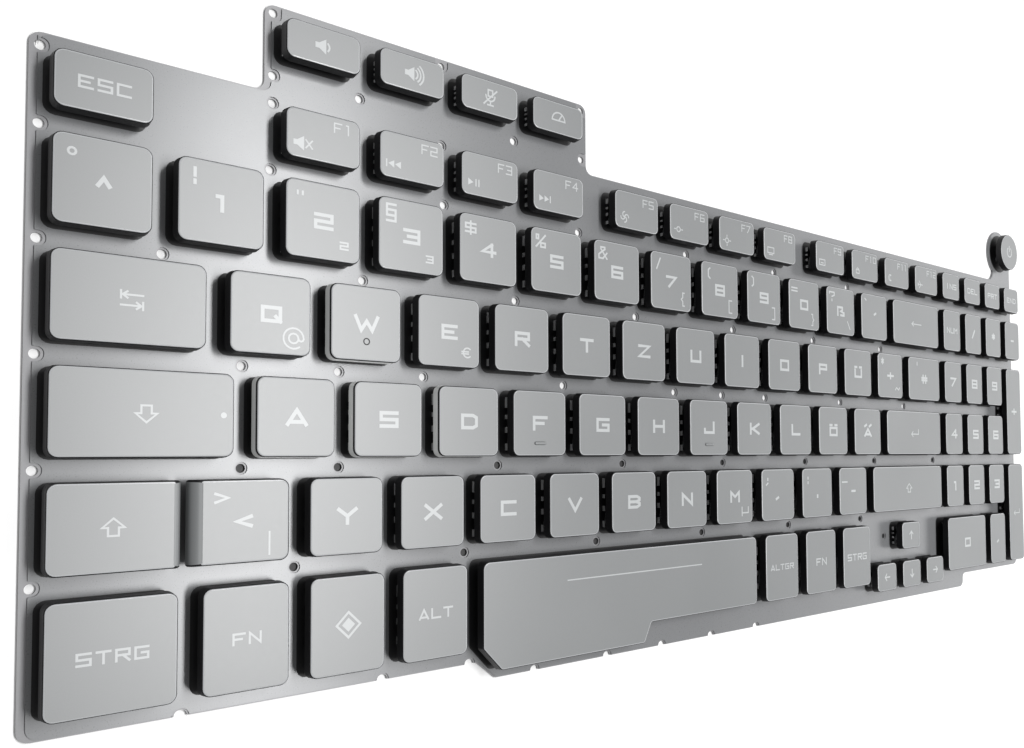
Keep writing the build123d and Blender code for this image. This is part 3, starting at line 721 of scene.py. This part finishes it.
def touch_marks(surface, key):
    """Small marks on single keys: a rounded bar, a ring or a dot."""
    x, y = middle_of(key)
    if key["node"] in ("key_f", "key_j"):
        bar = rectangle(x - BAR_L / 2, key["front"] + BAR_FROM_FRONT, BAR_L, BAR_W)
        rings = [ring(rounded(bar, BAR_R, inset, 3), TOP_Z + z) for inset, z in BAR_PROFILE]
        surface.loft(rings, [SIDE, PAINT, PAINT], close=(None, PAINT))
    if key["node"] == "key_w":
        ribbon(surface, arc((x, y - RING_DROP), RING_R, 0, 360, 17), RING_PEN, finish=SIDE)
    if key["node"] == "caps_lock_key":
        ribbon(surface, arc((key["left"] + WINDOW_X, y), WINDOW_R, 0, 360, 13), WINDOW_PEN)


# %% [markdown]
# Every key that moves becomes a piece of its own and rides on its slide. The other keys share one piece for
# the rear rows and one for the number pad, as their solids do in the frame.

# %% Build the keycaps
group_caps = {UP: Surface(), PAD: Surface()}
for key in keys:
    surface = group_caps.get(key["node"]) or Surface()
    cap_of(surface, key)
    touch_marks(surface, key)
    if key["node"] not in group_caps:
        slot = "keycap_clear" if key["node"] in CLEAR_KEYS else "keycap"
        surface.piece(key["node"] + "_cap", key["node"], CAP_FINISHES, slot, [key["node"]])
for node, surface in group_caps.items():
    surface.piece(node + "_caps", "deck", CAP_FINISHES, "keycap", [node])
caps = [obj for obj in bpy.data.objects if "_cap" in obj.name and obj.type == "MESH"]
print("caps:", sum(len(obj.data.polygons) for obj in caps), "faces")

# %% [markdown]
# The space bar and the power key use the same tray with other outlines. The bar has seven corners, because
# its front left corner is cut and its front has a slanted step; a thin line is printed on it.

# %% Space bar
CUT_X, CUT_Y, STEP_FROM_LEFT, STEP_RUN, SPACE_R = 4.8, 5.2, 48.0, 2.4, 0.8
MARK_X, MARK_L, MARK_FROM_REAR, MARK_PEN = 23.4, 45.6, 5.975, 0.28
step_left = space_left + STEP_FROM_LEFT
space_top = np.array([[space_left, SPACE_FRONT + CUT_Y], [space_left + CUT_X, SPACE_FRONT],
                      [step_left, SPACE_FRONT], [step_left + STEP_RUN, BOTTOM],
                      [space_right, BOTTOM], [space_right, BOTTOM_REAR], [space_left, BOTTOM_REAR]])
outwards = np.array([[-1, -0.6], [-0.6, -1], [0.6, -1], [0.6, -1], [1, -1], [1, 1], [-1, 1]])
space = Surface()
cap(space, space_top, space_top + outwards * FLARE, [SPACE_R] * 4 + [CORNER] * 3)
mark_left, mark_y = space_left + MARK_X, BOTTOM_REAR - MARK_FROM_REAR
ribbon(space, [(mark_left, mark_y), (mark_left + MARK_L, mark_y)], MARK_PEN)
space.piece("space_bar_cap", "space_bar", CAP_FINISHES, "keycap", ["space_bar"])
print("space bar has", len(space.faces), "faces")

# %% [markdown]
# The power key is round. An eight-sided polygon whose corners are rounded right up to a circle gives it
# with the same function, and its sign is an arc with a stroke.

# %% Power key
POWER = np.array([PLATE_RIGHT - TAB_R, TAB_Y])
POWER_R, POWER_PEN = 7.1, 0.45
eighth = np.radians(22.5 + 45 * np.arange(8))
octagon = np.column_stack([np.cos(eighth), np.sin(eighth)]) / math.cos(math.radians(22.5))
power = Surface()
cap(power, POWER + octagon * POWER_R, POWER + octagon * (POWER_R + FLARE), POWER_R, steps=4)
draw(power, "power", POWER, 1.0, POWER_PEN)
power.piece("power_key_cap", "power_key", CAP_FINISHES, "keycap", ["power_key"])
print("power key has", len(power.faces), "faces")

# %% [markdown]
# ## Scissors and domes
# Under every cap, two forked links cross and a rubber dome pushes back; when a key goes down they fold flat.
# Each moving key's set is one piece of its own, standing at rest on the deck; the sets of the fixed keys
# share one piece.

# %% Links, dome and wire
LINK, RUBBER, WIRE = range(3)
CARRIER_FINISHES = [link_plastic, dome_rubber, wire_steel]
FOOT_GAP, SEAT_GAP = 0.15, 0.3
LOW_Z, HIGH_Z = FILM_Z + FOOT_GAP, CEILING_Z - SEAT_GAP
FORK_R, ARM_R = 0.4, 0.3
# Share of the foot radius and height above the membrane
BELL = [(1.0, 0.0), (0.98, 0.35), (0.72, 1.6), (0.62, 3.05)]


def fork(surface, middle, turn, width, reach, bar, thick, lean, finish):
    """U-shaped bar of even thickness: its outline in the flat, tilted about its cross direction so that it
    stands exactly between the membrane and the cap, then turned about the vertical and moved to its key."""
    angle = math.asin(min(1.0, (HIGH_Z - LOW_Z) / math.hypot(reach, thick))) - math.atan2(thick, reach)
    w, r = width / 2, reach / 2
    flat = np.array([[-w, -r], [w, -r], [w, r], [w - bar, r],
                     [w - bar, -r + bar], [-w + bar, -r + bar], [-w + bar, r], [-w, r]])
    flat = rounded(flat, [FORK_R] * 2 + [ARM_R] * 6, 0, 1)
    c, s = math.cos(turn), math.sin(turn)
    rings = []
    for level in (-thick / 2, thick / 2):
        y = flat[:, 1] * math.cos(angle) - level * math.sin(angle)
        z = flat[:, 1] * math.sin(angle) + level * math.cos(angle) + (LOW_Z + HIGH_Z) / 2
        plan = np.column_stack([flat[:, 0], y + lean])
        rings.append(np.column_stack([plan @ np.array([[c, s], [-s, c]]) + middle, z]))
    surface.loft(rings, [finish], close=(finish, finish))


def dome(surface, middle, foot):
    """Rubber dome: a bell profile turned round its axis, twelve points to a turn."""
    a = np.radians(np.arange(12) * 30.0)
    circle = np.column_stack([np.cos(a), np.sin(a)])
    rings = [ring(middle + circle * foot * share, FILM_Z + z) for share, z in BELL]
    surface.loft(rings, [RUBBER] * 3, close=(RUBBER, RUBBER))


# %% [markdown]
# The room inside a cap sets the size of what carries it: the outer link stays clear of the walls, the inner
# link of the outer one and the dome of both. A wide key also has a steel wire that keeps it level, and the
# wire takes some of that room. Beyond a usual key width the links grow no further.

# %% Everything under one key
LINK_GAP, LINK_BAR, LINK_T, LINK_REACH = 0.35, 0.9, 0.8, 10.8
WIRE_T, WIRE_ARM, WIRE_END, WIRE_ROOM, WIRE_HALF_RUN = 0.8, 4.2, 3.0, 2.963, 1.907
DOME_R = 2.4
WALL_ROOM, BAR_ROOM = WALL + LINK_GAP, LINK_BAR + LINK_GAP


def carriers(surface, middle, w, d, turn=0.0, places=((0, 0),), wired=0.0):
    """Links, dome and wire of one key; wired is the length of its stabiliser, or 0."""
    across = d - WIRE_ROOM if wired else d
    outer = min(w, KEY_W) - 2 * WALL_ROOM
    inner = outer - 2 * BAR_ROOM
    reach = min(LINK_REACH, across - 2 * WALL_ROOM)
    for place in places:
        fork(surface, middle + place, turn, outer, reach, LINK_BAR, LINK_T, 0.0, LINK)
        fork(surface, middle + place, turn + math.pi, inner, reach, LINK_BAR, LINK_T, 0.0, LINK)
    dome(surface, middle, min(DOME_R, min(w, KEY_W) / 2 - WALL_ROOM - 2 * BAR_ROOM, reach / 2 - BAR_ROOM))
    if wired:
        lean = -(d / 2 - WALL_ROOM - WIRE_HALF_RUN)
        fork(surface, middle, turn + math.pi, wired - 2 * WIRE_END, WIRE_ARM, WIRE_T, WIRE_T, lean, WIRE)


# %% [markdown]
# The moving keys, the space bar and the power key each get a set of their own, and the sets of the fixed keys
# gather in one piece; all of them ride on the deck.

# %% Carry every key
CARRIER_NODES = ["scissor_links", "rubber_domes", "stabiliser_bars"]
WIRE_FROM_KEY, SPACE_LINK_X, POWER_ROOM = 28.0, 24.0, 7.2 * math.sqrt(2)
deck_sets = Surface()


def fold_piece(surface, node):
    """One folding set for a moving key."""
    obj = surface.piece(node + "_carrier", "deck", CARRIER_FINISHES, "link_plastic", CARRIER_NODES)
    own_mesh(obj)


for key in keys:
    grouped = key["node"] in (UP, PAD)
    surface = deck_sets if grouped else Surface()
    tall = key["d"] > key["w"] + PITCH / 2
    w, d = (key["d"], key["w"]) if tall else (key["w"], key["d"])
    wired = w if w > WIRE_FROM_KEY else 0.0
    carriers(surface, middle_of(key), w, d, math.pi / 2 if tall else 0.0, wired=wired)
    if not grouped:
        fold_piece(surface, key["node"])
surface = Surface()
space_middle = np.array([(space_left + space_right) / 2, BOTTOM_REAR - BOTTOM_D / 2])
space_places = ((-SPACE_LINK_X, 0), (SPACE_LINK_X, 0))
carriers(surface, space_middle, SPACE_W, BOTTOM_D, places=space_places, wired=SPACE_W)
fold_piece(surface, "space_bar")
surface = Surface()
carriers(surface, POWER, POWER_ROOM, POWER_ROOM)
fold_piece(surface, "power_key")
deck_sets.piece("fixed_key_carriers", "deck", CARRIER_FINISHES, "link_plastic", CARRIER_NODES)

# %% [markdown]
# ## Plate and membrane
# Both are sheets with many holes, and a flat curve does that best: one closed line for the edge, one for
# each hole, filled and given a thickness. The membrane stays a little inside the plate and is notched
# wherever a hole lies near the edge.

# %% Lines and steps of the plate
REAR_MARGIN, FRONT_MARGIN, PAD_FRONT_MARGIN = 3.6, 3.5, 2.7
HOT_LEFT_MARGIN, HOT_RIGHT_MARGIN, PAD_STEP = 2.3, 4.9, 22.6
LIP_LEAD, LIP_RUN, LIP_NOTCH, LIP_HOOK, NOTCH_LEAD = 1.3, 4.9, 10.9, 33.2, 1.9
TAB_NECK, TAB_NECK_R, PLATE_R, LIP_R = 14.5, 4.0, 2.0, 1.0
STAKE_EDGE, REAR_STAKE, MID_STAKE = 1.6, 2.2, 2.7
PLATE_REAR, PLATE_FRONT = FUNCTION + FUNCTION_D + REAR_MARGIN, BOTTOM - FRONT_MARGIN
HOT_REAR, PAD_FRONT = HOT + HOT_D + REAR_MARGIN, BOTTOM - PAD_FRONT_MARGIN
HOT_LEFT, HOT_RIGHT = GROUP_STARTS[0] - HOT_LEFT_MARGIN, GROUP_STARTS[0] + GROUP_W + HOT_RIGHT_MARGIN
LIP_LEFT, STEP_X, NECK_X = space_left + LIP_LEAD, BLOCK_RIGHT + PAD_STEP, PLATE_RIGHT - TAB_NECK
GAP_LINES = [front - ROW_GAP / 2 for front in (FUNCTION, NUMBER, UPPER, HOME, LOWER)]
REAR_LINE, HOT_LINE, MID_LINE = PLATE_REAR - REAR_STAKE, HOT_REAR - STAKE_EDGE, HOT - MID_STAKE
notched_keys = [key for key in keys if key["node"] in ("layer_key", "left_alt_key")]
FRONT_NOTCHES = [key["left"] - GAP / 2 for key in notched_keys] + [LIP_LEFT - NOTCH_LEAD]
LIP_NOTCHES = [LIP_LEFT + LIP_RUN + LIP_NOTCH] + [LIP_LEFT + LIP_RUN + LIP_HOOK + i * PITCH for i in range(4)]
print("plate is", round(PLATE_RIGHT - PLATE_LEFT, 2), "mm wide")

# %% [markdown]
# The edge is walked once round, counter-clockwise, as corners with a radius each. A notch is four such
# corners. The membrane takes the same walk a little further in, and makes room round the holes at its edge.

# %% Outline with notches
NOTCH_R, NOTCH_LIP_R, NOTCH_SHARE = 1.1, 0.25, 0.9
HOT_NOTCH, LEFT_NOTCH = (1.6, 2.6), (1.25, 1.7)
CUT, CUT_R, CUT_INNER_R = 2 * STAKE_EDGE, 0.3, 1.2
LEFT_SHARE, SLANT_SHARE, TAB_POINTS = 5, 0.4, 25
FUNCTION_STEP = KEY_W + FUNCTION_GAP


def hot_gap(n):
    """Middle of the gap to the right of the n-th key of the first function group."""
    return GROUP_STARTS[0] + n * FUNCTION_STEP - FUNCTION_GAP / 2


def notch(x, y, along, half, deep):
    """Four corners and radii of a round-bottomed notch in an edge that runs along a direction."""
    a = np.array(along, float)
    p, n, r = np.array([x, y]), np.array([-a[1], a[0]]), half * NOTCH_SHARE
    return [(p - a * half, NOTCH_LIP_R), (p - a * half + n * deep, r), (p + a * half + n * deep, r),
            (p + a * half, NOTCH_LIP_R)]


def front_edge(i, left, grow):
    """Front edge from left to right: small notches, the lip in front of the space bar and the pad's step."""
    half, slant = NOTCH_R + grow, i * SLANT_SHARE
    edge = [((left, PLATE_FRONT + i), PLATE_R)]
    for x in FRONT_NOTCHES:
        edge += notch(x, PLATE_FRONT + i, (1, 0), half, half - i)
    edge += [((LIP_LEFT + slant, PLATE_FRONT + i), LIP_R),
             ((LIP_LEFT + LIP_RUN + slant, LIP_FRONT + i), LIP_R)]
    for x in LIP_NOTCHES:
        edge += notch(x, LIP_FRONT + i, (1, 0), half, half - i)
    return edge + [((STEP_X - i, LIP_FRONT + i), PLATE_R), ((STEP_X - i, PAD_FRONT + i), PLATE_R),
                   ((PLATE_RIGHT - i, PAD_FRONT + i), PLATE_R)]


def hot_edge(i, left):
    """Edge of the tongue behind the hot keys; the membrane is cut back round the holes in its corners."""
    if not i:
        return [((HOT_RIGHT, HOT_REAR), PLATE_R), ((left, HOT_REAR), PLATE_R)]
    right, rear, low = HOT_RIGHT - i, HOT_REAR - i, HOT_LINE - STAKE_EDGE
    edge = notch(right, MID_LINE, (0, 1), *HOT_NOTCH)
    edge += [((right, low), CUT_R), ((HOT_RIGHT - CUT, low), CUT_INNER_R), ((HOT_RIGHT - CUT, rear), CUT_R)]
    edge += notch(hot_gap(2), rear, (-1, 0), *HOT_NOTCH)
    edge += [((HOT_LEFT + CUT, rear), CUT_R), ((HOT_LEFT + CUT, low), CUT_INNER_R), ((left, low), CUT_R)]
    return edge + notch(left, MID_LINE, (0, -1), *LEFT_NOTCH)


def sheet_edge(inset, grow):
    """Edge of the plate, or of the membrane when inset is given; grow widens the notches."""
    left, hot_left, rear = PLATE_LEFT + LEFT_SHARE * inset, HOT_LEFT + LEFT_SHARE * inset, PLATE_REAR - inset
    edge = front_edge(inset, left, grow)
    tab_end = 180 + math.degrees(math.acos((TAB_NECK - TAB_R) / TAB_R))
    edge += [(point, LEAST_RADIUS) for point in arc(POWER, TAB_R - inset, 0, tab_end, TAB_POINTS)]
    edge += [((NECK_X + inset, rear), TAB_NECK_R), ((HOT_RIGHT - inset, rear), PLATE_R)]
    edge += hot_edge(inset, hot_left) + [((hot_left, rear), PLATE_R), ((left, rear), PLATE_R)]
    if inset:
        for line in [REAR_LINE] + GAP_LINES:
            edge += notch(left, line, (0, -1), *LEFT_NOTCH)
    places, radii = zip(*edge)
    return rounded(places, radii)


FILM_INSET, FILM_GROW = 0.25, 0.3
PLATE_EDGE, FILM_EDGE = sheet_edge(0.0, 0.0), sheet_edge(FILM_INSET, FILM_GROW)
print("plate edge has", len(PLATE_EDGE), "points, membrane edge", len(FILM_EDGE))

# %% [markdown]
# Plastic stakes hold such a stack together, and their holes lie in the gaps between the rows and along the
# left edge. In each gap they stand at whole pitches from one key, so a few step numbers place them all.

# %% Stake holes
STAKE_SHIFT = 0.95
edge_holes = [(PLATE_LEFT + STAKE_EDGE, line) for line in GAP_LINES + [REAR_LINE]]
gap_starts = [2 * PITCH - GAP, PITCH - GAP, CAPS_W, CAPS_W, SHIFT_W + GAP + ANGLE_W]
gap_steps = [(0, 2, 4, 6, 8, 10), (0, 2, 4, 6, 8, 10, 12), (0, 1, 2, 4, 6, 7, 8, 10, 12),
             (0, 1, 3, 5, 7, 9, 11, 13), (0, 2, 4, 6, 8, 10)]
row_holes = []
for line, start, steps in zip(GAP_LINES, gap_starts, gap_steps):
    row_holes += [(start + GAP / 2 + STAKE_SHIFT + step * PITCH, line) for step in steps]
cursor_line = BOTTOM_REAR - CURSOR_D / 2
row_holes += [(cursor_left + CURSOR_W, cursor_line), (cursor_left + 2 * CURSOR_W + 2 * GAP, cursor_line)]
row_holes += [(hot_gap(1), MID_LINE), (hot_gap(3), MID_LINE), (hot_gap(2), REAR_LINE)]
row_holes += [(HOT_LEFT + STAKE_EDGE, REAR_LINE)]
edge_holes += [(x, y) for x in (HOT_LEFT + STAKE_EDGE, HOT_RIGHT - STAKE_EDGE) for y in (MID_LINE, HOT_LINE)]
edge_holes += [(hot_gap(2), HOT_LINE)]
print(len(edge_holes) + len(row_holes), "stake holes")

# %% [markdown]
# A flat curve is filled between its closed lines. Once it is a mesh, its points are lifted to their height,
# so the finished piece sits at the origin like every other one.

# %% Sheets from flat curves
PLATE_HOLE_R, FILM_HOLE_R, HOLE_POINTS = 0.85, 1.2, 24


def hole_line(place, radius):
    """Circle of evenly spaced points round a place; the last one stops a step before the first."""
    return arc(place, radius, 0, 360 - 360 / HOLE_POINTS, HOLE_POINTS)


def sheet(name, edge, holes, radius, low, high, material, node):
    """Flat filled curve of an edge and round holes, raised between two heights and made a mesh."""
    curve = bpy.data.curves.new(name, "CURVE")
    curve.dimensions, curve.fill_mode, curve.extrude = "2D", "BOTH", (high - low) / 2 * MM
    for outline in [edge] + [hole_line(place, radius) for place in holes]:
        spline = curve.splines.new("POLY")
        spline.points.add(len(outline) - 1)
        flat = np.column_stack([(outline - ORIGIN) * MM, np.zeros(len(outline)), np.ones(len(outline))])
        spline.points.foreach_set("co", flat.ravel())
        spline.use_cyclic_u = True
    helper = bpy.data.objects.new(name + "_curve", curve)
    bpy.context.scene.collection.objects.link(helper)
    bpy.context.view_layer.update()
    mesh = bpy.data.meshes.new_from_object(helper.evaluated_get(bpy.context.evaluated_depsgraph_get()))
    bpy.data.objects.remove(helper)
    points = np.zeros(len(mesh.vertices) * 3)
    mesh.vertices.foreach_get("co", points)
    points = points.reshape(-1, 3) + (0, 0, (low + high) / 2 * MM)
    mesh.vertices.foreach_set("co", points.ravel())
    mesh.materials.clear()
    mesh.materials.append(material)
    obj = bpy.data.objects.new(name, mesh)
    bpy.context.scene.collection.objects.link(obj)
    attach(obj, "deck")
    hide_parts(node)
    print(name, "has", len(mesh.polygons), "faces")


sheet("stamped_plate", PLATE_EDGE, edge_holes + row_holes, PLATE_HOLE_R, 0.0, PLATE_T, plate_coat,
      "base_plate")
sheet("cover_film", FILM_EDGE, row_holes, FILM_HOLE_R, PLATE_T, FILM_Z, film_coat, "switch_membrane")

# %% [markdown]
# The holes of the front rows look dark, while the rear ones show the floor. A thin black disc under each
# front hole is painted shade for the dark room under the plate.

# %% Discs under the front holes
DISC_R, DISC_Z, FRONT_FROM = 0.88, 0.03, -5.0
# Black discs of painted shade under the front holes
hole_shade = Surface()
front_holes = [place for place in row_holes if place[1] < FRONT_FROM]
for place in front_holes:
    hole_shade.flat(hole_line(place, DISC_R), DISC_Z)
hole_shade.piece("hole_tape", "deck", [painted_shade_black], "film", smooth=0)
print(len(front_holes), "discs")

# %% [markdown]
# Around each key the membrane is black, a little further out than the cap and most of all on the left: a thin
# flat black patch on the membrane paints the shadow of the caps and the dark room under them.

# %% Painted shadows round the keys
# How far the painted shadow reaches past each cap, most of all to the left
SHADE_LEFT, SHADE_FRONT, SHADE_SIDE, SHADE_R, SHADE_Z = 0.65, 0.3, 0.1, 1.8, FILM_Z + 0.012
SHADE_GROW, SPACE_SHADE_LEFT, SPACE_SHADE_R = 0.4, 0.3, 1.2
shadow_patches = Surface()
for key in keys:
    seat = rectangle(key["left"] - SHADE_LEFT, key["front"] - SHADE_FRONT, key["w"] + SHADE_LEFT + SHADE_SIDE,
                     key["d"] + SHADE_FRONT + SHADE_SIDE)
    shadow_patches.flat(rounded(seat, SHADE_R, 0.0, 4), SHADE_Z)
space_seat = space_top - (SPACE_SHADE_LEFT, 0.0)
shadow_patches.flat(rounded(space_seat, [SPACE_R] * 4 + [SPACE_SHADE_R] * 3, -SHADE_GROW, 4), SHADE_Z)
shadow_patches.flat(rounded(POWER + octagon * POWER_R, POWER_R, -SHADE_GROW, 4), SHADE_Z)
shadow_patches.piece("key_wells", "deck", [painted_shade_black], "film", smooth=0)
print(len(keys) + 2, "shadow_patches")

# %% [markdown]
# Between the keys there are small bright marks. Hooks bent up from the plate, which hold the links of such a
# key, would catch the light like that; here they are thin upright tabs under both sides of each cap, coloured
# near white as a painted glint.

# %% Hooks
HOOKS = [(-0.36, 1.6), (-0.1, 1.3), (0.1, 1.0), (0.32, 2.4)]
HOOK_T, HOOK_H, HOOK_R, HOOK_IN, HOOK_ENDS = 0.2, 0.7, 0.05, 1.06, 3.4
hooks = Surface()
for key in keys:
    x, y = middle_of(key)
    far = min(key["w"], KEY_W) / 2 - HOOK_IN
    room = min(1.0, (key["d"] - HOOK_ENDS) / (KEY_D - HOOK_ENDS))
    for side in (-1, 1):
        for place, long in np.array(HOOKS) * room:
            foot = rectangle(x + side * far - HOOK_T / 2, y + place * KEY_D - long / 2, HOOK_T, long)
            outline = rounded(foot, HOOK_R, 0, 1)
            hooks.loft([ring(outline, z) for z in (FILM_Z, FILM_Z + HOOK_H)], [0], close=(0, 0))
hooks.piece("link_hooks", "deck", [hook_steel_painted_glint], "plate_metal", smooth=0)
print(2 * len(HOOKS) * len(keys), "hooks")

# %% [markdown]
# ## Floor, light and camera
# The module lies on a plain white floor.

# %% Floor
FLOOR_HALF = 6.0
floor_mesh = bpy.data.meshes.new("floor")
square = np.array([(-1, -1, 0), (1, -1, 0), (1, 1, 0), (-1, 1, 0)])
floor_mesh.from_pydata(square * FLOOR_HALF, [], [(0, 1, 2, 3)])
floor = bpy.data.objects.new("floor", floor_mesh)
bpy.context.scene.collection.objects.link(floor)
floor_white = satin("floor_white", (0.90, 0.90, 0.90), (0.93, 0.93, 0.93), (0.7, 0.85), 30.0, 0.0,
                    specular=0.1)
floor_mesh.materials.append(floor_white)
print("floor is", 2 * FLOOR_HALF, "m wide")

# %% [markdown]
# A long soft light overhead is mirrored in the satin tops on the left. A second one far to the right lifts
# the number pad, and a weak white world fills in from all sides. An area light shines along its own minus z,
# so its z axis is turned away from the point that it faces.

# %% Light
WORLD_STRENGTH = 0.43
world = bpy.data.worlds.new("studio")
world.use_nodes = True
sky = world.node_tree.nodes["Background"]
sky.inputs["Color"].default_value = (1.0, 1.0, 1.0, 1.0)
sky.inputs["Strength"].default_value = WORLD_STRENGTH
bpy.context.scene.world = world


def soft_light(name, place, target, along, size, watts):
    """Rectangular area light that faces a point; its long side lies along a direction."""
    lamp = bpy.data.lights.new(name, "AREA")
    lamp.shape, lamp.energy = "RECTANGLE", watts
    lamp.size, lamp.size_y = size
    obj = bpy.data.objects.new(name, lamp)
    bpy.context.scene.collection.objects.link(obj)
    z = np.array(place, float) - np.array(target, float)
    z /= np.linalg.norm(z)
    x = np.cross(along, z)
    x /= np.linalg.norm(x)
    matrix = np.eye(4)
    matrix[:3, :4] = np.column_stack([x, np.cross(z, x), z, place])
    obj.matrix_world = Matrix(matrix.tolist())


soft_light("overhead", place=(0.29, 0.06, 1.1), target=(-0.1, 0.0, 0.0), along=(0.05, 1.0, 0.0),
           size=(0.16, 0.94), watts=12.6)
soft_light("far_right", place=(1.5, 0.2, 0.75), target=(0.1, 0.0, 0.0), along=(0.0, 1.0, 0.0),
           size=(0.7, 1.4), watts=6.0)
print(len(bpy.data.lights), "soft lights")

# %% [markdown]
# The camera stands over the left front of the keyboard, close and tilted, so that the left keys are large
# and the number pad runs away to the right. Its place, over the key tops and from the middle of the home row,
# and its turn were fitted to the edges of the key tops.

# %% Camera
SENSOR, LENS, LENS_SHIFT_X, LENS_SHIFT_Y, NEAR, FAR = 36.0, 33.093, -0.125, 0.0446, 0.01, 50.0
EYE_X, EYE_Y, EYE_OVER_TOPS = -33.325, -8.684, 173.619
EYE_TURN = (2.94275, -43.0724, -0.69354)
camera = bpy.data.cameras.new("camera")
camera.sensor_width, camera.lens = SENSOR, LENS
camera.shift_x, camera.shift_y = LENS_SHIFT_X, LENS_SHIFT_Y
camera.clip_start, camera.clip_end = NEAR, FAR
eye = bpy.data.objects.new("camera", camera)
spot = np.array([EYE_X - ORIGIN[0], EYE_Y - ORIGIN[1], EYE_OVER_TOPS + TOP_Z]) * MM
eye.matrix_world = Matrix.LocRotScale(Vector(spot), Euler([math.radians(a) for a in EYE_TURN]), None)
bpy.context.scene.collection.objects.link(eye)
bpy.context.scene.camera = eye
bpy.context.scene.view_settings.view_transform = "Standard"
print("camera is", round(spot[2] / MM, 1), "mm above the floor")
